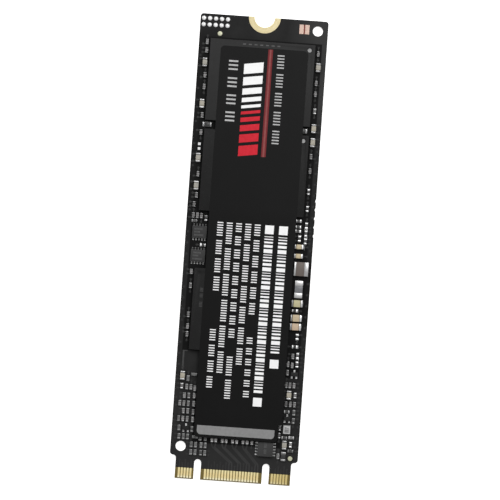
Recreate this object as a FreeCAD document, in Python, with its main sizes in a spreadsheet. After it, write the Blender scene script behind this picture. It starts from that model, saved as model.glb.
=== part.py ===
import FreeCAD
import Part
import Sketcher
import os

# Bare gumstick solid state drive, lying flat on its plain side, in millimetres.
# X runs across the board, Y along it towards the screw notch, Z up from the underside.
# The origin is the middle of the underside.

doc = FreeCAD.newDocument("GumstickDrive")
sheet = doc.addObject("Spreadsheet::Sheet", "Sizes")

# Driving dimensions: name, value
SIZES = [
    # Board blank and connector tongue
    ("board_width", 22.0),
    ("board_length", 80.0),
    ("board_thickness", 0.8),
    ("board_corner_radius", 0.5),
    ("shoulder_width", 1.075),
    ("tongue_length", 4.0),
    ("shoulder_fillet", 0.5),
    ("tongue_bevel", 0.2),
    ("key_width", 1.2),
    ("key_depth", 3.5),
    ("left_key_offset", 6.125),
    ("right_key_offset", 5.625),
    # Screw notch, tooling holes and break-off marks
    ("notch_radius", 1.75),
    ("notch_ring_width", 1.0),
    ("plating_thickness", 0.03),
    ("tooling_hole_radius", 0.875),
    ("tooling_hole_inset", 1.75),
    ("lower_hole_rise", 1.55),
    ("bite_radius", 0.35),
    ("bite_depth", 0.14),
    ("bite_pitch", 1.5),
    ("bite_first_along", 9.1),
    # Edge contacts
    ("contact_pitch", 0.5),
    ("contact_width", 0.35),
    ("contact_length", 1.7),
    ("contact_clearance", 0.3),
    # Bare pads on the top face
    ("pad_thickness", 0.03),
    ("test_pad_radius", 0.375),
    ("test_pad_pitch", 1.03),
    ("test_pad_row_pitch", 1.1),
    ("test_pad_side_inset", 0.6),
    ("test_pad_end_inset", 0.8),
    ("fiducial_radius", 0.4),
    ("fiducial_head_inset", 3.3),
    ("fiducial_side_inset", 3.5),
    ("fiducial_tail_along", -35.3),
    ("fiducial_tail_inset", 1.35),
    ("jumper_pad_width", 0.72),
    ("jumper_pad_length", 1.6),
    ("jumper_pad_pitch", 0.98),
    ("jumper_pad_side_inset", 4.57),
    ("jumper_pad_end_inset", 1.6),
    ("spare_pad_side", 0.45),
    ("spare_pad_pitch", 0.8),
    ("spare_pad_out", 0.7),
    ("spare_pad_rise", 3.97),
    # Ball-grid packages
    ("ball_width", 0.4),
    ("ball_height", 0.25),
    ("package_height", 0.95),
    ("pin_mark_radius", 0.35),
    ("pin_mark_depth", 0.05),
    ("pin_mark_inset", 0.95),
    ("nand_length", 18.0),
    ("nand_width", 14.0),
    ("nand_gap", 1.55),
    ("nand_foot_along", 6.18),
    ("nand_column_pitch", 3.0),
    ("nand_row_pitch", 1.0),
    ("dram_width", 9.0),
    ("dram_length", 14.0),
    ("dram_head_along", -3.72),
    ("dram_ball_pitch", 0.8),
    ("controller_side", 9.5),
    ("controller_gap", 0.8),
    ("controller_ball_pitch", 1.2),
    ("power_manager_side", 5.0),
    ("power_manager_height", 0.85),
    ("power_manager_gap", 1.2),
    ("power_manager_drop", 1.8),
    # Small leaded packages
    ("regulator_length", 2.5),
    ("regulator_width", 2.1),
    ("regulator_height", 0.75),
    ("regulator_edge_inset", 2.4),
    ("regulator_first_drop", 3.75),
    ("regulator_pitch", 4.08),
    ("power_switch_length", 2.7),
    ("power_switch_width", 2.5),
    ("power_switch_height", 0.75),
    ("power_switch_across", 5.3),
    ("power_switch_rise", 2.05),
    ("lead_pitch", 0.5),
    ("lead_width", 0.24),
    ("lead_reach", 0.35),
    ("lead_thickness", 0.2),
    ("transistor_length", 1.2),
    ("transistor_width", 0.75),
    ("transistor_height", 0.6),
    ("transistor_lead_width", 0.3),
    ("transistor_lead_reach", 0.32),
    ("transistor_lead_spread", 0.78),
    ("crystal_width", 1.35),
    ("crystal_length", 1.6),
    ("crystal_base_height", 0.4),
    ("crystal_lid_height", 0.12),
    ("crystal_lid_margin", 0.1),
    # Chip parts
    ("chip_wrap", 0.02),
    ("small_chip_length", 1.0),
    ("small_chip_width", 0.5),
    ("small_chip_height", 0.5),
    ("small_chip_end", 0.28),
    ("medium_chip_length", 1.6),
    ("medium_chip_width", 0.8),
    ("medium_chip_height", 0.8),
    ("medium_chip_end", 0.36),
    ("large_chip_length", 2.0),
    ("large_chip_width", 1.2),
    ("large_chip_height", 0.9),
    ("large_chip_end", 0.42),
    ("small_resistor_height", 0.35),
    ("medium_resistor_height", 0.45),
    ("inductor_body_length", 1.4),
    ("inductor_width", 2.4),
    ("inductor_height", 1.0),
    ("inductor_left_end", 0.35),
    ("inductor_right_end", 0.7),
    ("inductor_along", -2.7),
    ("inductor_edge_inset", 1.93),
    ("fuse_length", 3.0),
    ("fuse_width", 1.35),
    ("fuse_height", 0.6),
    ("fuse_end", 0.9),
    ("fuse_along", -6.2),
    ("fuse_edge_inset", 1.93),
    # Label
    ("label_width", 15.0),
    ("label_length", 67.2),
    ("label_thickness", 0.1),
    ("label_corner_radius", 0.7),
    ("label_shift", 0.35),
    ("label_head_inset", 5.4),
    ("label_relief_width", 0.6),
    ("label_relief_length", 3.0),
]
for row, (alias, value) in enumerate(SIZES, start=1):
    sheet.set(f"A{row}", alias)
    sheet.set(f"B{row}", str(value))
    sheet.setAlias(f"B{row}", alias)
doc.recompute()

# Places worked out from the sheet, as expressions
HALF_WIDTH = "Sizes.board_width / 2"
HEAD = "Sizes.board_length / 2"
TAIL = "-Sizes.board_length / 2"
SHOULDER = "(Sizes.tongue_length - Sizes.board_length / 2)"
HALF_TONGUE = "(Sizes.board_width / 2 - Sizes.shoulder_width)"
CONTACT_END = f"({TAIL} + Sizes.tongue_bevel + Sizes.contact_length)"
TOP = "Sizes.board_thickness"
NAND_EDGE = "Sizes.nand_length / 2"
LOWER_NAND = "(Sizes.nand_foot_along + Sizes.nand_width / 2)"
UPPER_NAND = f"({LOWER_NAND} + Sizes.nand_gap + Sizes.nand_width)"
NAND_FOOT = "Sizes.nand_foot_along"
DRAM_ACROSS = "(Sizes.dram_width / 2 - Sizes.nand_length / 2)"
DRAM_ALONG = "(Sizes.dram_head_along - Sizes.dram_length / 2)"
DRAM_EDGE = "Sizes.nand_length / 2"
CONTROLLER_ALONG = (
    "(Sizes.dram_head_along - Sizes.dram_length - Sizes.controller_gap - Sizes.controller_side / 2)"
)
POWER_MANAGER_ACROSS = (
    "(Sizes.dram_width - Sizes.nand_length / 2 + Sizes.power_manager_gap + Sizes.power_manager_side / 2)"
)
POWER_MANAGER_ALONG = (
    "(Sizes.dram_head_along - Sizes.power_manager_drop - Sizes.power_manager_side / 2)"
)
PACKAGE_FOOT = f"({TOP} + Sizes.ball_height)"
PACKAGE_TOP = f"({PACKAGE_FOOT} + Sizes.package_height)"
LABEL_TOP_END = f"({HEAD} - Sizes.label_head_inset)"

subparts = []


def number(expression):
    """Value of an expression that reads the sheet."""
    return float(sheet.evalExpression(expression))


def keep(thing, label):
    """Name a finished sub-part and put it on the list of those written out."""
    thing.Label = label
    subparts.append(thing)
    return thing


# Sketches and features of PartDesign bodies


def new_body(label):
    return keep(doc.addObject("PartDesign::Body", label), label)


def origin_plane(body, role):
    for feature in body.Origin.OriginFeatures:
        if feature.Role == role:
            return feature
    raise ValueError(role)


def new_sketch(body, name, height="0", role="XY_Plane"):
    sketch = body.newObject("Sketcher::SketchObject", name)
    sketch.AttachmentSupport = (origin_plane(body, role), [""])
    sketch.MapMode = "FlatFace"
    sketch.setExpression("AttachmentOffset.Base.z", height)
    return sketch


def bind(sketch, kind, geometry, point, expression):
    """Hold a point of the sketch at a distance from its origin."""
    place = Sketcher.Constraint(kind, -1, 1, geometry, point, number(expression))
    index = sketch.addConstraint(place)
    sketch.setExpression(f"Constraints[{index}]", expression)


def add_rectangle(sketch, left, right, bottom, top):
    """Rectangle with each side bound to an expression."""
    first = sketch.GeometryCount
    x0, x1 = number(left), number(right)
    y0, y1 = number(bottom), number(top)
    corners = [(x0, y0), (x1, y0), (x1, y1), (x0, y1)]
    for step in range(4):
        start = FreeCAD.Vector(*corners[step], 0)
        end = FreeCAD.Vector(*corners[(step + 1) % 4], 0)
        sketch.addGeometry(Part.LineSegment(start, end))
    for step in range(4):
        following = first + (step + 1) % 4
        sketch.addConstraint(Sketcher.Constraint("Coincident", first + step, 2, following, 1))
        way = "Vertical" if step % 2 else "Horizontal"
        sketch.addConstraint(Sketcher.Constraint(way, first + step))
    bind(sketch, "DistanceX", first, 1, left)
    bind(sketch, "DistanceY", first, 1, bottom)
    bind(sketch, "DistanceX", first + 1, 2, right)
    bind(sketch, "DistanceY", first + 1, 2, top)


def add_circle(sketch, across, along, radius):
    """Circle with its centre and radius bound to expressions."""
    centre = FreeCAD.Vector(number(across), number(along), 0)
    normal = FreeCAD.Vector(0, 0, 1)
    index = sketch.addGeometry(Part.Circle(centre, normal, number(radius)))
    bind(sketch, "DistanceX", index, 3, across)
    bind(sketch, "DistanceY", index, 3, along)
    size = sketch.addConstraint(Sketcher.Constraint("Radius", index, number(radius)))
    sketch.setExpression(f"Constraints[{size}]", radius)


def add_pad(body, sketch, name, length):
    feature = body.newObject("PartDesign::Pad", name)
    feature.Profile = sketch
    feature.setExpression("Length", length)
    return feature


def add_pocket(body, sketch, name, depth, upwards=False):
    feature = body.newObject("PartDesign::Pocket", name)
    feature.Profile = sketch
    feature.setExpression("Length", depth)
    feature.Reversed = upwards
    return feature


def add_row(body, sketch, feature, name, span, count):
    """Copies of a feature in one row along X."""
    pattern = body.newObject("PartDesign::LinearPattern", name)
    pattern.Originals = [feature]
    pattern.Direction = (sketch, ["H_Axis"])
    pattern.setExpression("Length", span)
    pattern.Occurrences = count
    body.Tip = pattern
    return pattern


def add_grid(body, sketch, feature, name, pitches, columns, rows):
    """Copies of a feature in columns along X and rows along Y."""
    column_pitch, row_pitch = pitches
    pattern = add_row(body, sketch, feature, name, f"{column_pitch} * {columns - 1}", columns)
    pattern.Direction2 = (sketch, ["V_Axis"])
    pattern.setExpression("Length2", f"{row_pitch} * {rows - 1}")
    pattern.Occurrences2 = rows
    return pattern


def upright_edges(feature, places):
    """Names of the feature's edges that stand upright at these places."""
    doc.recompute()
    names = []
    for index, edge in enumerate(feature.Shape.Edges, start=1):
        box = edge.BoundBox
        if box.XLength > 1e-6 or box.YLength > 1e-6:
            continue
        for across, along in places:
            if abs(box.XMin - across) < 1e-4 and abs(box.YMin - along) < 1e-4:
                names.append(f"Edge{index}")
    return names


def round_edges(body, feature, name, places, radius):
    """Fillet the upright edges at these places."""
    fillet = body.newObject("PartDesign::Fillet", name)
    fillet.Base = (feature, upright_edges(feature, places))
    fillet.setExpression("Radius", radius)
    return fillet


# Boxes and groups of boxes, each bound to the sheet


def centred_box(name, across, along, foot, length, width, height):
    """Box with its middle at a place and its foot at a height, all given as expressions."""
    box = doc.addObject("Part::Box", name)
    box.setExpression("Length", length)
    box.setExpression("Width", width)
    box.setExpression("Height", height)
    box.setExpression("Placement.Base.x", f"{across} - ({length}) / 2")
    box.setExpression("Placement.Base.y", f"{along} - ({width}) / 2")
    box.setExpression("Placement.Base.z", foot)
    return box


def disc(name, across, along, radius):
    """Thin round pad on the board's top face, as a prism of twelve sides."""
    pad = doc.addObject("Part::Prism", name)
    pad.Polygon = 12
    pad.setExpression("Circumradius", radius)
    pad.setExpression("Height", "Sizes.pad_thickness")
    pad.setExpression("Placement.Base.x", across)
    pad.setExpression("Placement.Base.y", along)
    pad.setExpression("Placement.Base.z", TOP)
    return pad


def group(label, members):
    """One sub-part made of separate solids."""
    compound = doc.addObject("Part::Compound", label)
    compound.Links = members
    return keep(compound, label)


# Circuit board


def make_board():
    board = new_body("circuit_board")
    blank = new_sketch(board, "blank_outline")
    add_rectangle(blank, f"-{HALF_WIDTH}", HALF_WIDTH, SHOULDER, HEAD)
    add_pad(board, blank, "blank", TOP)
    tongue = new_sketch(board, "tongue_outline")
    add_rectangle(tongue, f"-{HALF_TONGUE}", HALF_TONGUE, TAIL, SHOULDER)
    body = add_pad(board, tongue, "tongue", TOP)

    half = number(HALF_WIDTH)
    half_tongue = number(HALF_TONGUE)
    shoulder = number(SHOULDER)
    corners = [(side * half, end) for side in (-1, 1) for end in (number(HEAD), shoulder)]
    rounded = round_edges(board, body, "corner_rounds", corners, "Sizes.board_corner_radius")
    inner = [(side * half_tongue, shoulder) for side in (-1, 1)]
    round_edges(board, rounded, "shoulder_fillets", inner, "Sizes.shoulder_fillet")

    cut_keys(board)
    cut_notch(board)
    cut_holes(board)
    cut_windows(board)
    bevel_tongue(board)


def cut_keys(board):
    """Two slots in the tongue, each with a round end."""
    end = f"({TAIL} + Sizes.key_depth - Sizes.key_width / 2)"
    places = (("left_key", "-Sizes.left_key_offset"), ("right_key", "Sizes.right_key_offset"))
    for name, across in places:
        straight = new_sketch(board, f"{name}_outline", TOP)
        left = f"{across} - Sizes.key_width / 2"
        right = f"{across} + Sizes.key_width / 2"
        add_rectangle(straight, left, right, TAIL, end)
        add_pocket(board, straight, name, TOP)
        round_end = new_sketch(board, f"{name}_end_outline", TOP)
        add_circle(round_end, across, end, "Sizes.key_width / 2")
        add_pocket(board, round_end, f"{name}_end", TOP)


def cut_notch(board):
    """Half-round screw notch, and the shallow seats of its plated ring on both faces."""
    hole = new_sketch(board, "notch_outline", TOP)
    add_circle(hole, "0", HEAD, "Sizes.notch_radius + Sizes.plating_thickness")
    add_pocket(board, hole, "notch", TOP)
    ring = "Sizes.notch_radius + Sizes.notch_ring_width"
    for name, height, upwards in (("ring_seat_top", TOP, False), ("ring_seat_bottom", "0", True)):
        seat = new_sketch(board, f"{name}_outline", height)
        add_circle(seat, "0", HEAD, ring)
        add_pocket(board, seat, name, "Sizes.plating_thickness", upwards)


def cut_holes(board):
    """Tooling holes at two opposite corners, and the row of break-off marks."""
    inset = f"({HALF_WIDTH} - Sizes.tooling_hole_inset)"
    holes = new_sketch(board, "tooling_hole_outlines", TOP)
    add_circle(holes, inset, f"{HEAD} - Sizes.tooling_hole_inset", "Sizes.tooling_hole_radius")
    add_circle(holes, f"-{inset}", f"{SHOULDER} + Sizes.lower_hole_rise", "Sizes.tooling_hole_radius")
    add_pocket(board, holes, "tooling_holes", TOP)

    bite = new_sketch(board, "bite_outline", TOP)
    across = f"{HALF_WIDTH} + Sizes.bite_radius - Sizes.bite_depth"
    add_circle(bite, across, "Sizes.bite_first_along", "Sizes.bite_radius")
    cut = add_pocket(board, bite, "bite", TOP)
    bites = board.newObject("PartDesign::LinearPattern", "bites")
    bites.Originals = [cut]
    bites.Direction = (bite, ["V_Axis"])
    bites.Reversed = True
    bite_count = 5
    bites.setExpression("Length", f"Sizes.bite_pitch * {bite_count - 1}")
    bites.Occurrences = bite_count
    board.Tip = bites


def cut_windows(board):
    """Step in the mask on both faces of the tongue, where the contacts lie bare."""
    for name, height, upwards in (("window_top", TOP, False), ("window_bottom", "0", True)):
        window = new_sketch(board, f"{name}_outline", height)
        add_rectangle(window, f"-{HALF_TONGUE}", HALF_TONGUE, TAIL, CONTACT_END)
        add_pocket(board, window, name, "Sizes.plating_thickness", upwards)


def bevel_tongue(board):
    """Lead-in bevel along both faces of the tongue's end."""
    doc.recompute()
    last = board.Tip
    tail = number(TAIL)
    names = []
    for index, edge in enumerate(last.Shape.Edges, start=1):
        box = edge.BoundBox
        if abs(box.YMin - tail) < 1e-6 and box.YLength < 1e-6 and box.ZLength < 1e-6:
            names.append(f"Edge{index}")
    bevel = board.newObject("PartDesign::Chamfer", "lead_in_bevel")
    bevel.Base = (last, names)
    bevel.setExpression("Size", "Sizes.tongue_bevel")


def make_notch_plating():
    """Half ring with a channel section, turned about the notch's axis."""
    plating = new_body("mounting_notch_plating")
    for name, foot, height, outer in (
        ("barrel", "0", TOP, "Sizes.notch_radius + Sizes.plating_thickness"),
        ("ring_bottom", "0", "Sizes.plating_thickness", "Sizes.notch_radius + Sizes.notch_ring_width"),
        (
            "ring_top",
            f"{TOP} - Sizes.plating_thickness",
            "Sizes.plating_thickness",
            "Sizes.notch_radius + Sizes.notch_ring_width",
        ),
    ):
        profile = new_sketch(plating, f"{name}_profile", f"-({HEAD})", "XZ_Plane")
        # The sketch faces the screw end, so its second axis is the height above the underside.
        add_rectangle(profile, "Sizes.notch_radius", outer, foot, f"{foot} + {height}")
        turn = plating.newObject("PartDesign::Revolution", name)
        turn.Profile = profile
        turn.ReferenceAxis = (profile, ["V_Axis"])
        turn.Angle = 180
        turn.Reversed = True


# Edge contacts


def contact_runs(shift):
    """Runs of neighbouring contacts that have room on the tongue, as (place in pitches, count)."""
    half = number(HALF_TONGUE)
    reach = sheet.contact_width / 2 + sheet.contact_clearance
    keys = (-sheet.left_key_offset, sheet.right_key_offset)
    steps = int(half / sheet.contact_pitch) + 1
    runs = []
    in_run = False
    for step in range(-steps, steps + 1):
        across = (step + shift) * sheet.contact_pitch
        clear_of_sides = abs(across) + reach <= half
        clear_of_keys = all(abs(across - key) >= sheet.key_width / 2 + reach for key in keys)
        has_room = clear_of_sides and clear_of_keys
        if has_room and in_run:
            runs[-1][1] += 1
        elif has_room:
            runs.append([step + shift, 1])
        in_run = has_room
    return runs


def make_contacts(label, shift, foot):
    """Contacts of one face. Those of the two faces stand half a pitch apart."""
    contacts = new_body(label)
    for run, (place, count) in enumerate(contact_runs(shift)):
        across = f"{place} * Sizes.contact_pitch"
        outline = new_sketch(contacts, f"{label}_outline_{run}", foot)
        left = f"{across} - Sizes.contact_width / 2"
        right = f"{across} + Sizes.contact_width / 2"
        add_rectangle(outline, left, right, f"{TAIL} + Sizes.tongue_bevel", CONTACT_END)
        blade = add_pad(contacts, outline, f"{label}_blade_{run}", "Sizes.plating_thickness")
        span = f"Sizes.contact_pitch * {count - 1}"
        add_row(contacts, outline, blade, f"{label}_row_{run}", span, count)


# Bare pads on the top face


def make_bare_pads():
    columns = 5
    rows = 2
    pads = []
    for column in range(columns):
        for row in range(rows):
            across = f"Sizes.test_pad_side_inset + {column} * Sizes.test_pad_pitch - {HALF_WIDTH}"
            along = f"{HEAD} - Sizes.test_pad_end_inset - {row} * Sizes.test_pad_row_pitch"
            pads.append(disc(f"test_pad_{column}_{row}", across, along, "Sizes.test_pad_radius"))
    group("test_pads", pads)

    head_across = f"Sizes.fiducial_side_inset - {HALF_WIDTH}"
    head_along = f"{HEAD} - Sizes.fiducial_head_inset"
    tail_across = f"{HALF_WIDTH} - Sizes.fiducial_tail_inset"
    tail_along = "Sizes.fiducial_tail_along"
    head = disc("fiducial_head", head_across, head_along, "Sizes.fiducial_radius")
    tail = disc("fiducial_tail", tail_across, tail_along, "Sizes.fiducial_radius")
    group("fiducials", [head, tail])

    jumpers = []
    for step in range(2):
        across = f"{HALF_WIDTH} - Sizes.jumper_pad_side_inset + {step} * Sizes.jumper_pad_pitch"
        along = f"{HEAD} - Sizes.jumper_pad_end_inset"
        size = ("Sizes.jumper_pad_width", "Sizes.jumper_pad_length", "Sizes.pad_thickness")
        jumpers.append(centred_box(f"jumper_pad_{step}", across, along, TOP, *size))
    group("jumper_pads", jumpers)

    spares = []
    side = "Sizes.spare_pad_side"
    for step in (-0.5, 0.5):
        across = f"-{NAND_EDGE} - Sizes.spare_pad_out"
        along = f"{LOWER_NAND} + Sizes.spare_pad_rise + {step} * Sizes.spare_pad_pitch"
        spares.append(centred_box(f"spare_pad_{step}", across, along, TOP, side, side, "Sizes.pad_thickness"))
    group("spare_pads", spares)


# Ball-grid packages


def make_package(label, across, along, length, width, mark_side=None):
    """Moulded body, with a shallow round mark at a head corner where that shows."""
    package = new_body(label)
    outline = new_sketch(package, f"{label}_outline", PACKAGE_FOOT)
    left = f"{across} - {length} / 2"
    right = f"{across} + {length} / 2"
    add_rectangle(outline, left, right, f"{along} - {width} / 2", f"{along} + {width} / 2")
    add_pad(package, outline, f"{label}_block", "Sizes.package_height")
    if mark_side is None:
        return
    mark = new_sketch(package, f"{label}_mark_outline", PACKAGE_TOP)
    mark_across = f"{across} + {mark_side} * ({length} / 2 - Sizes.pin_mark_inset)"
    mark_along = f"{along} + {width} / 2 - Sizes.pin_mark_inset"
    add_circle(mark, mark_across, mark_along, "Sizes.pin_mark_radius")
    add_pocket(package, mark, f"{label}_mark", "Sizes.pin_mark_depth")


def make_balls(label, along, pitches, columns, rows, block_middles):
    """Solder joints between a package and the board, in one or more blocks of a grid."""
    balls = new_body(label)
    for block, middle in enumerate(block_middles):
        across = f"{middle} - {pitches[0]} * {columns - 1} / 2"
        first_row = f"{along} - {pitches[1]} * {rows - 1} / 2"
        outline = new_sketch(balls, f"{label}_outline_{block}", TOP)
        half = "Sizes.ball_width / 2"
        add_rectangle(
            outline,
            f"{across} - {half}",
            f"{across} + {half}",
            f"{first_row} - {half}",
            f"{first_row} + {half}",
        )
        ball = add_pad(balls, outline, f"{label}_ball_{block}", "Sizes.ball_height")
        add_grid(balls, outline, ball, f"{label}_grid_{block}", pitches, columns, rows)


def make_packages():
    right, left = 1, -1
    nand = ("Sizes.nand_length", "Sizes.nand_width")
    make_package("nand_package_upper", "0", UPPER_NAND, *nand, right)
    make_package("nand_package_lower", "0", LOWER_NAND, *nand, right)
    dram = ("Sizes.dram_width", "Sizes.dram_length")
    make_package("dram_package", DRAM_ACROSS, DRAM_ALONG, *dram, left)
    controller = ("Sizes.controller_side", "Sizes.controller_side")
    make_package("controller_package", "0", CONTROLLER_ALONG, *controller)

    lands = ("Sizes.nand_column_pitch", "Sizes.nand_row_pitch")
    make_balls("nand_upper_solder_balls", UPPER_NAND, lands, 4, 13, ["0"])
    make_balls("nand_lower_solder_balls", LOWER_NAND, lands, 4, 13, ["0"])
    # The working memory has two blocks of three columns, with three columns left out between them.
    blocks = [f"({DRAM_ACROSS} + {side} * 3 * Sizes.dram_ball_pitch)" for side in (left, right)]
    fine = ("Sizes.dram_ball_pitch", "Sizes.dram_ball_pitch")
    make_balls("dram_solder_balls", DRAM_ALONG, fine, 3, 16, blocks)
    wide = ("Sizes.controller_ball_pitch", "Sizes.controller_ball_pitch")
    make_balls("controller_solder_balls", CONTROLLER_ALONG, wide, 7, 7, ["0"])

    side = "Sizes.power_manager_side"
    place = (POWER_MANAGER_ACROSS, POWER_MANAGER_ALONG, TOP)
    keep(centred_box("power_manager", *place, side, side, "Sizes.power_manager_height"), "power_manager")


# Small leaded packages

LEADS_A_SIDE = 5


def lead_row(name, across, along, half_body, lengthwise):
    """Two rows of flat leads that stand out from opposite sides of a package."""
    leads = []
    out = f"({half_body} + Sizes.lead_reach / 2)"
    for side in (-1, 1):
        for step in range(LEADS_A_SIDE):
            shift = f"{step - (LEADS_A_SIDE - 1) / 2} * Sizes.lead_pitch"
            title = f"{name}_lead_{side}_{step}"
            if lengthwise:
                place = (f"{across} + {shift}", f"{along} + {side} * {out}")
                size = ("Sizes.lead_width", "Sizes.lead_reach")
            else:
                place = (f"{across} + {side} * {out}", f"{along} + {shift}")
                size = ("Sizes.lead_reach", "Sizes.lead_width")
            leads.append(centred_box(title, *place, TOP, *size, "Sizes.lead_thickness"))
    return leads


def make_regulators():
    across = f"Sizes.regulator_edge_inset - {HALF_WIDTH}"
    leads = []
    for step, name in enumerate(("regulator_upper", "regulator_lower")):
        along = f"{NAND_FOOT} - Sizes.regulator_first_drop - {step} * Sizes.regulator_pitch"
        size = ("Sizes.regulator_length", "Sizes.regulator_width", "Sizes.regulator_height")
        keep(centred_box(name, across, along, TOP, *size), name)
        leads += lead_row(name, across, along, "Sizes.regulator_width / 2", True)
    group("regulator_leads", leads)


def make_power_switch():
    across = "Sizes.power_switch_across"
    along = f"{SHOULDER} + Sizes.power_switch_rise"
    size = ("Sizes.power_switch_length", "Sizes.power_switch_width", "Sizes.power_switch_height")
    keep(centred_box("power_switch", across, along, TOP, *size), "power_switch")
    leads = lead_row("power_switch", across, along, "Sizes.power_switch_length / 2", False)
    group("power_switch_leads", leads)


# Where chip parts are measured from: across, along
BOARD_LEFT = f"-{HALF_WIDTH}"
BOARD_RIGHT = HALF_WIDTH
ANCHORS = {
    "upper_nand_left": (f"-{NAND_EDGE}", UPPER_NAND),
    "upper_nand_right": (NAND_EDGE, UPPER_NAND),
    "lower_nand_left": (f"-{NAND_EDGE}", LOWER_NAND),
    "lower_nand_right": (NAND_EDGE, LOWER_NAND),
    "nand_foot_left": (BOARD_LEFT, NAND_FOOT),
    "dram_left": (f"-{DRAM_EDGE}", "Sizes.dram_head_along"),
    "right_field": (BOARD_RIGHT, "0"),
    "tail_left": (BOARD_LEFT, SHOULDER),
    "tail_middle": ("0", SHOULDER),
}


def at_anchor(anchor, across, along):
    """Place given by its distances from a named anchor."""
    base_across, base_along = ANCHORS[anchor]
    return f"({base_across} + {across})", f"({base_along} + {along})"


# Transistors with one lead above and two below: anchor, across, along
TRANSISTORS = [
    ("tail_left", 2.42, 4.75),
    ("right_field", -1.65, -20.8),
    ("right_field", -2.35, -28.48),
]


def make_transistors():
    bodies = []
    leads = []
    size = ("Sizes.transistor_length", "Sizes.transistor_width", "Sizes.transistor_height")
    lead = ("Sizes.transistor_lead_width", "Sizes.transistor_lead_reach", "Sizes.lead_thickness")
    out = "(Sizes.transistor_width / 2 + Sizes.transistor_lead_reach / 2)"
    half_spread = "Sizes.transistor_lead_spread / 2"
    for index, place in enumerate(TRANSISTORS):
        across, along = at_anchor(*place)
        bodies.append(centred_box(f"transistor_{index}", across, along, TOP, *size))
        name = f"transistor_lead_{index}"
        leads.append(centred_box(f"{name}_head", across, f"{along} + {out}", TOP, *lead))
        for side in (-1, 1):
            foot = (f"{across} + {side} * {half_spread}", f"{along} - {out}")
            leads.append(centred_box(f"{name}_foot_{side}", *foot, TOP, *lead))
    group("transistors", bodies)
    group("transistor_leads", leads)


def make_crystal():
    across, along = at_anchor("right_field", -2.27, -30.35)
    base = ("Sizes.crystal_width", "Sizes.crystal_length", "Sizes.crystal_base_height")
    keep(centred_box("crystal_base", across, along, TOP, *base), "crystal_base")
    foot = f"{TOP} + Sizes.crystal_base_height"
    width = "Sizes.crystal_width - 2 * Sizes.crystal_lid_margin"
    length = "Sizes.crystal_length - 2 * Sizes.crystal_lid_margin"
    lid = centred_box("crystal_lid", across, along, foot, width, length, "Sizes.crystal_lid_height")
    keep(lid, "crystal_lid")


# Chip parts: a brick between two metal ends, lying along or across the board
ALONG = "along"
ACROSS = "across"


def chip_row(anchor, across, alongs, way=ALONG):
    """Chips in one column, at the given distances along the board."""
    return [(anchor, across, along, way) for along in alongs]


def chip_line(anchor, acrosses, along, way=ALONG):
    """Chips in one row, at the given distances across the board."""
    return [(anchor, across, along, way) for across in acrosses]


SMALL_CAPACITORS = (
    chip_row("upper_nand_left", -0.55, (6.4, 4.95, 0.65, -1.35, -6.25))
    + chip_row("upper_nand_right", 0.58, (5.6, 0.55, -1.35))
    + chip_row("lower_nand_left", -0.55, (6.35, -0.8, -4.45))
    + chip_row("lower_nand_left", -0.85, (-6.0,))
    + chip_row("lower_nand_right", 0.58, (3.5, 1.0, -2.6, -5.5))
    + chip_line("nand_foot_left", (1.15, 1.85, 2.55), -0.93)
    + chip_row("right_field", -1.35, (4.8, 3.45, 2.1))
    + chip_row("dram_left", -0.5, (-0.7, -3.1, -8.1, -10.1, -11.45))
    + chip_line("tail_left", (2.1, 2.8), 11.8)
    + chip_row("tail_left", 1.25, (11.9,))
    + chip_line("tail_left", (1.8, 2.55), 10.3)
    + chip_line("tail_left", (1.1, 1.8, 2.55), 8.95)
    + chip_line("tail_left", (1.8, 2.55), 7.65)
    + chip_line("tail_left", (1.1, 1.8, 2.55), 6.3)
    + chip_row("tail_left", 3.5, (11.6, 10.35, 8.95, 7.55, 6.25))
    + chip_line("tail_middle", (-3.95, -3.3, -2.15, -1.5, -0.4, 0.3, 1.4, 2.1, 2.9), 3.1)
    + chip_row("right_field", -1.3, (-17.6, -19.1))
    + chip_row("right_field", -2.1, (-17.75, -19.3))
    + chip_row("right_field", -2.85, (-19.15, -20.6))
    + chip_line("right_field", (-2.9, -2.25, -1.55), -22.75)
    + chip_row("right_field", -1.25, (-24.42,))
    + chip_line("right_field", (-2.7, -1.95, -1.25), -26.0)
    + chip_row("right_field", -3.5, (-30.15, -31.45))
    + chip_row("right_field", -1.45, (-32.9,))
)
SMALL_RESISTORS = (
    chip_row("upper_nand_right", 0.65, (-4.25,))
    + chip_row("nand_foot_left", 1.4, (-1.85,), ACROSS)
    + chip_row("nand_foot_left", 3.35, (-1.28,))
    + chip_row("nand_foot_left", 3.15, (-5.93,), ACROSS)
    + chip_row("right_field", -2.75, (5.5, 4.5, 3.75), ACROSS)
    + chip_row("right_field", -2.4, (2.5,))
    + chip_row("right_field", -2.35, (-9.9,), ACROSS)
    + chip_row("right_field", -1.6, (-14.35,))
    + chip_row("right_field", -1.9, (-16.1,), ACROSS)
    + chip_row("right_field", -2.5, (-27.3,), ACROSS)
    + chip_row("right_field", -1.25, (-27.4, -28.8))
    + chip_row("right_field", -2.6, (-31.8,), ACROSS)
    + chip_row("right_field", -1.4, (-31.7, -34.0), ACROSS)
    + chip_row("right_field", -3.45, (-35.05,))
    + chip_row("tail_left", 3.2, (14.0,), ACROSS)
    + chip_row("tail_left", 2.2, (13.25,))
    + chip_row("tail_left", 1.25, (4.7,))
    + chip_row("tail_left", 3.5, (4.6,))
    + chip_line("tail_left", (1.35, 2.1, 2.8), 3.25)
    + chip_row("tail_left", 4.1, (3.3,), ACROSS)
    + chip_line("tail_left", (5.0, 5.9), 3.2)
    + chip_line("tail_left", (3.55, 4.3, 5.25, 5.95), 1.95)
    + chip_line("tail_left", (3.55, 4.3, 5.25, 5.95), 0.65)
)
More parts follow.
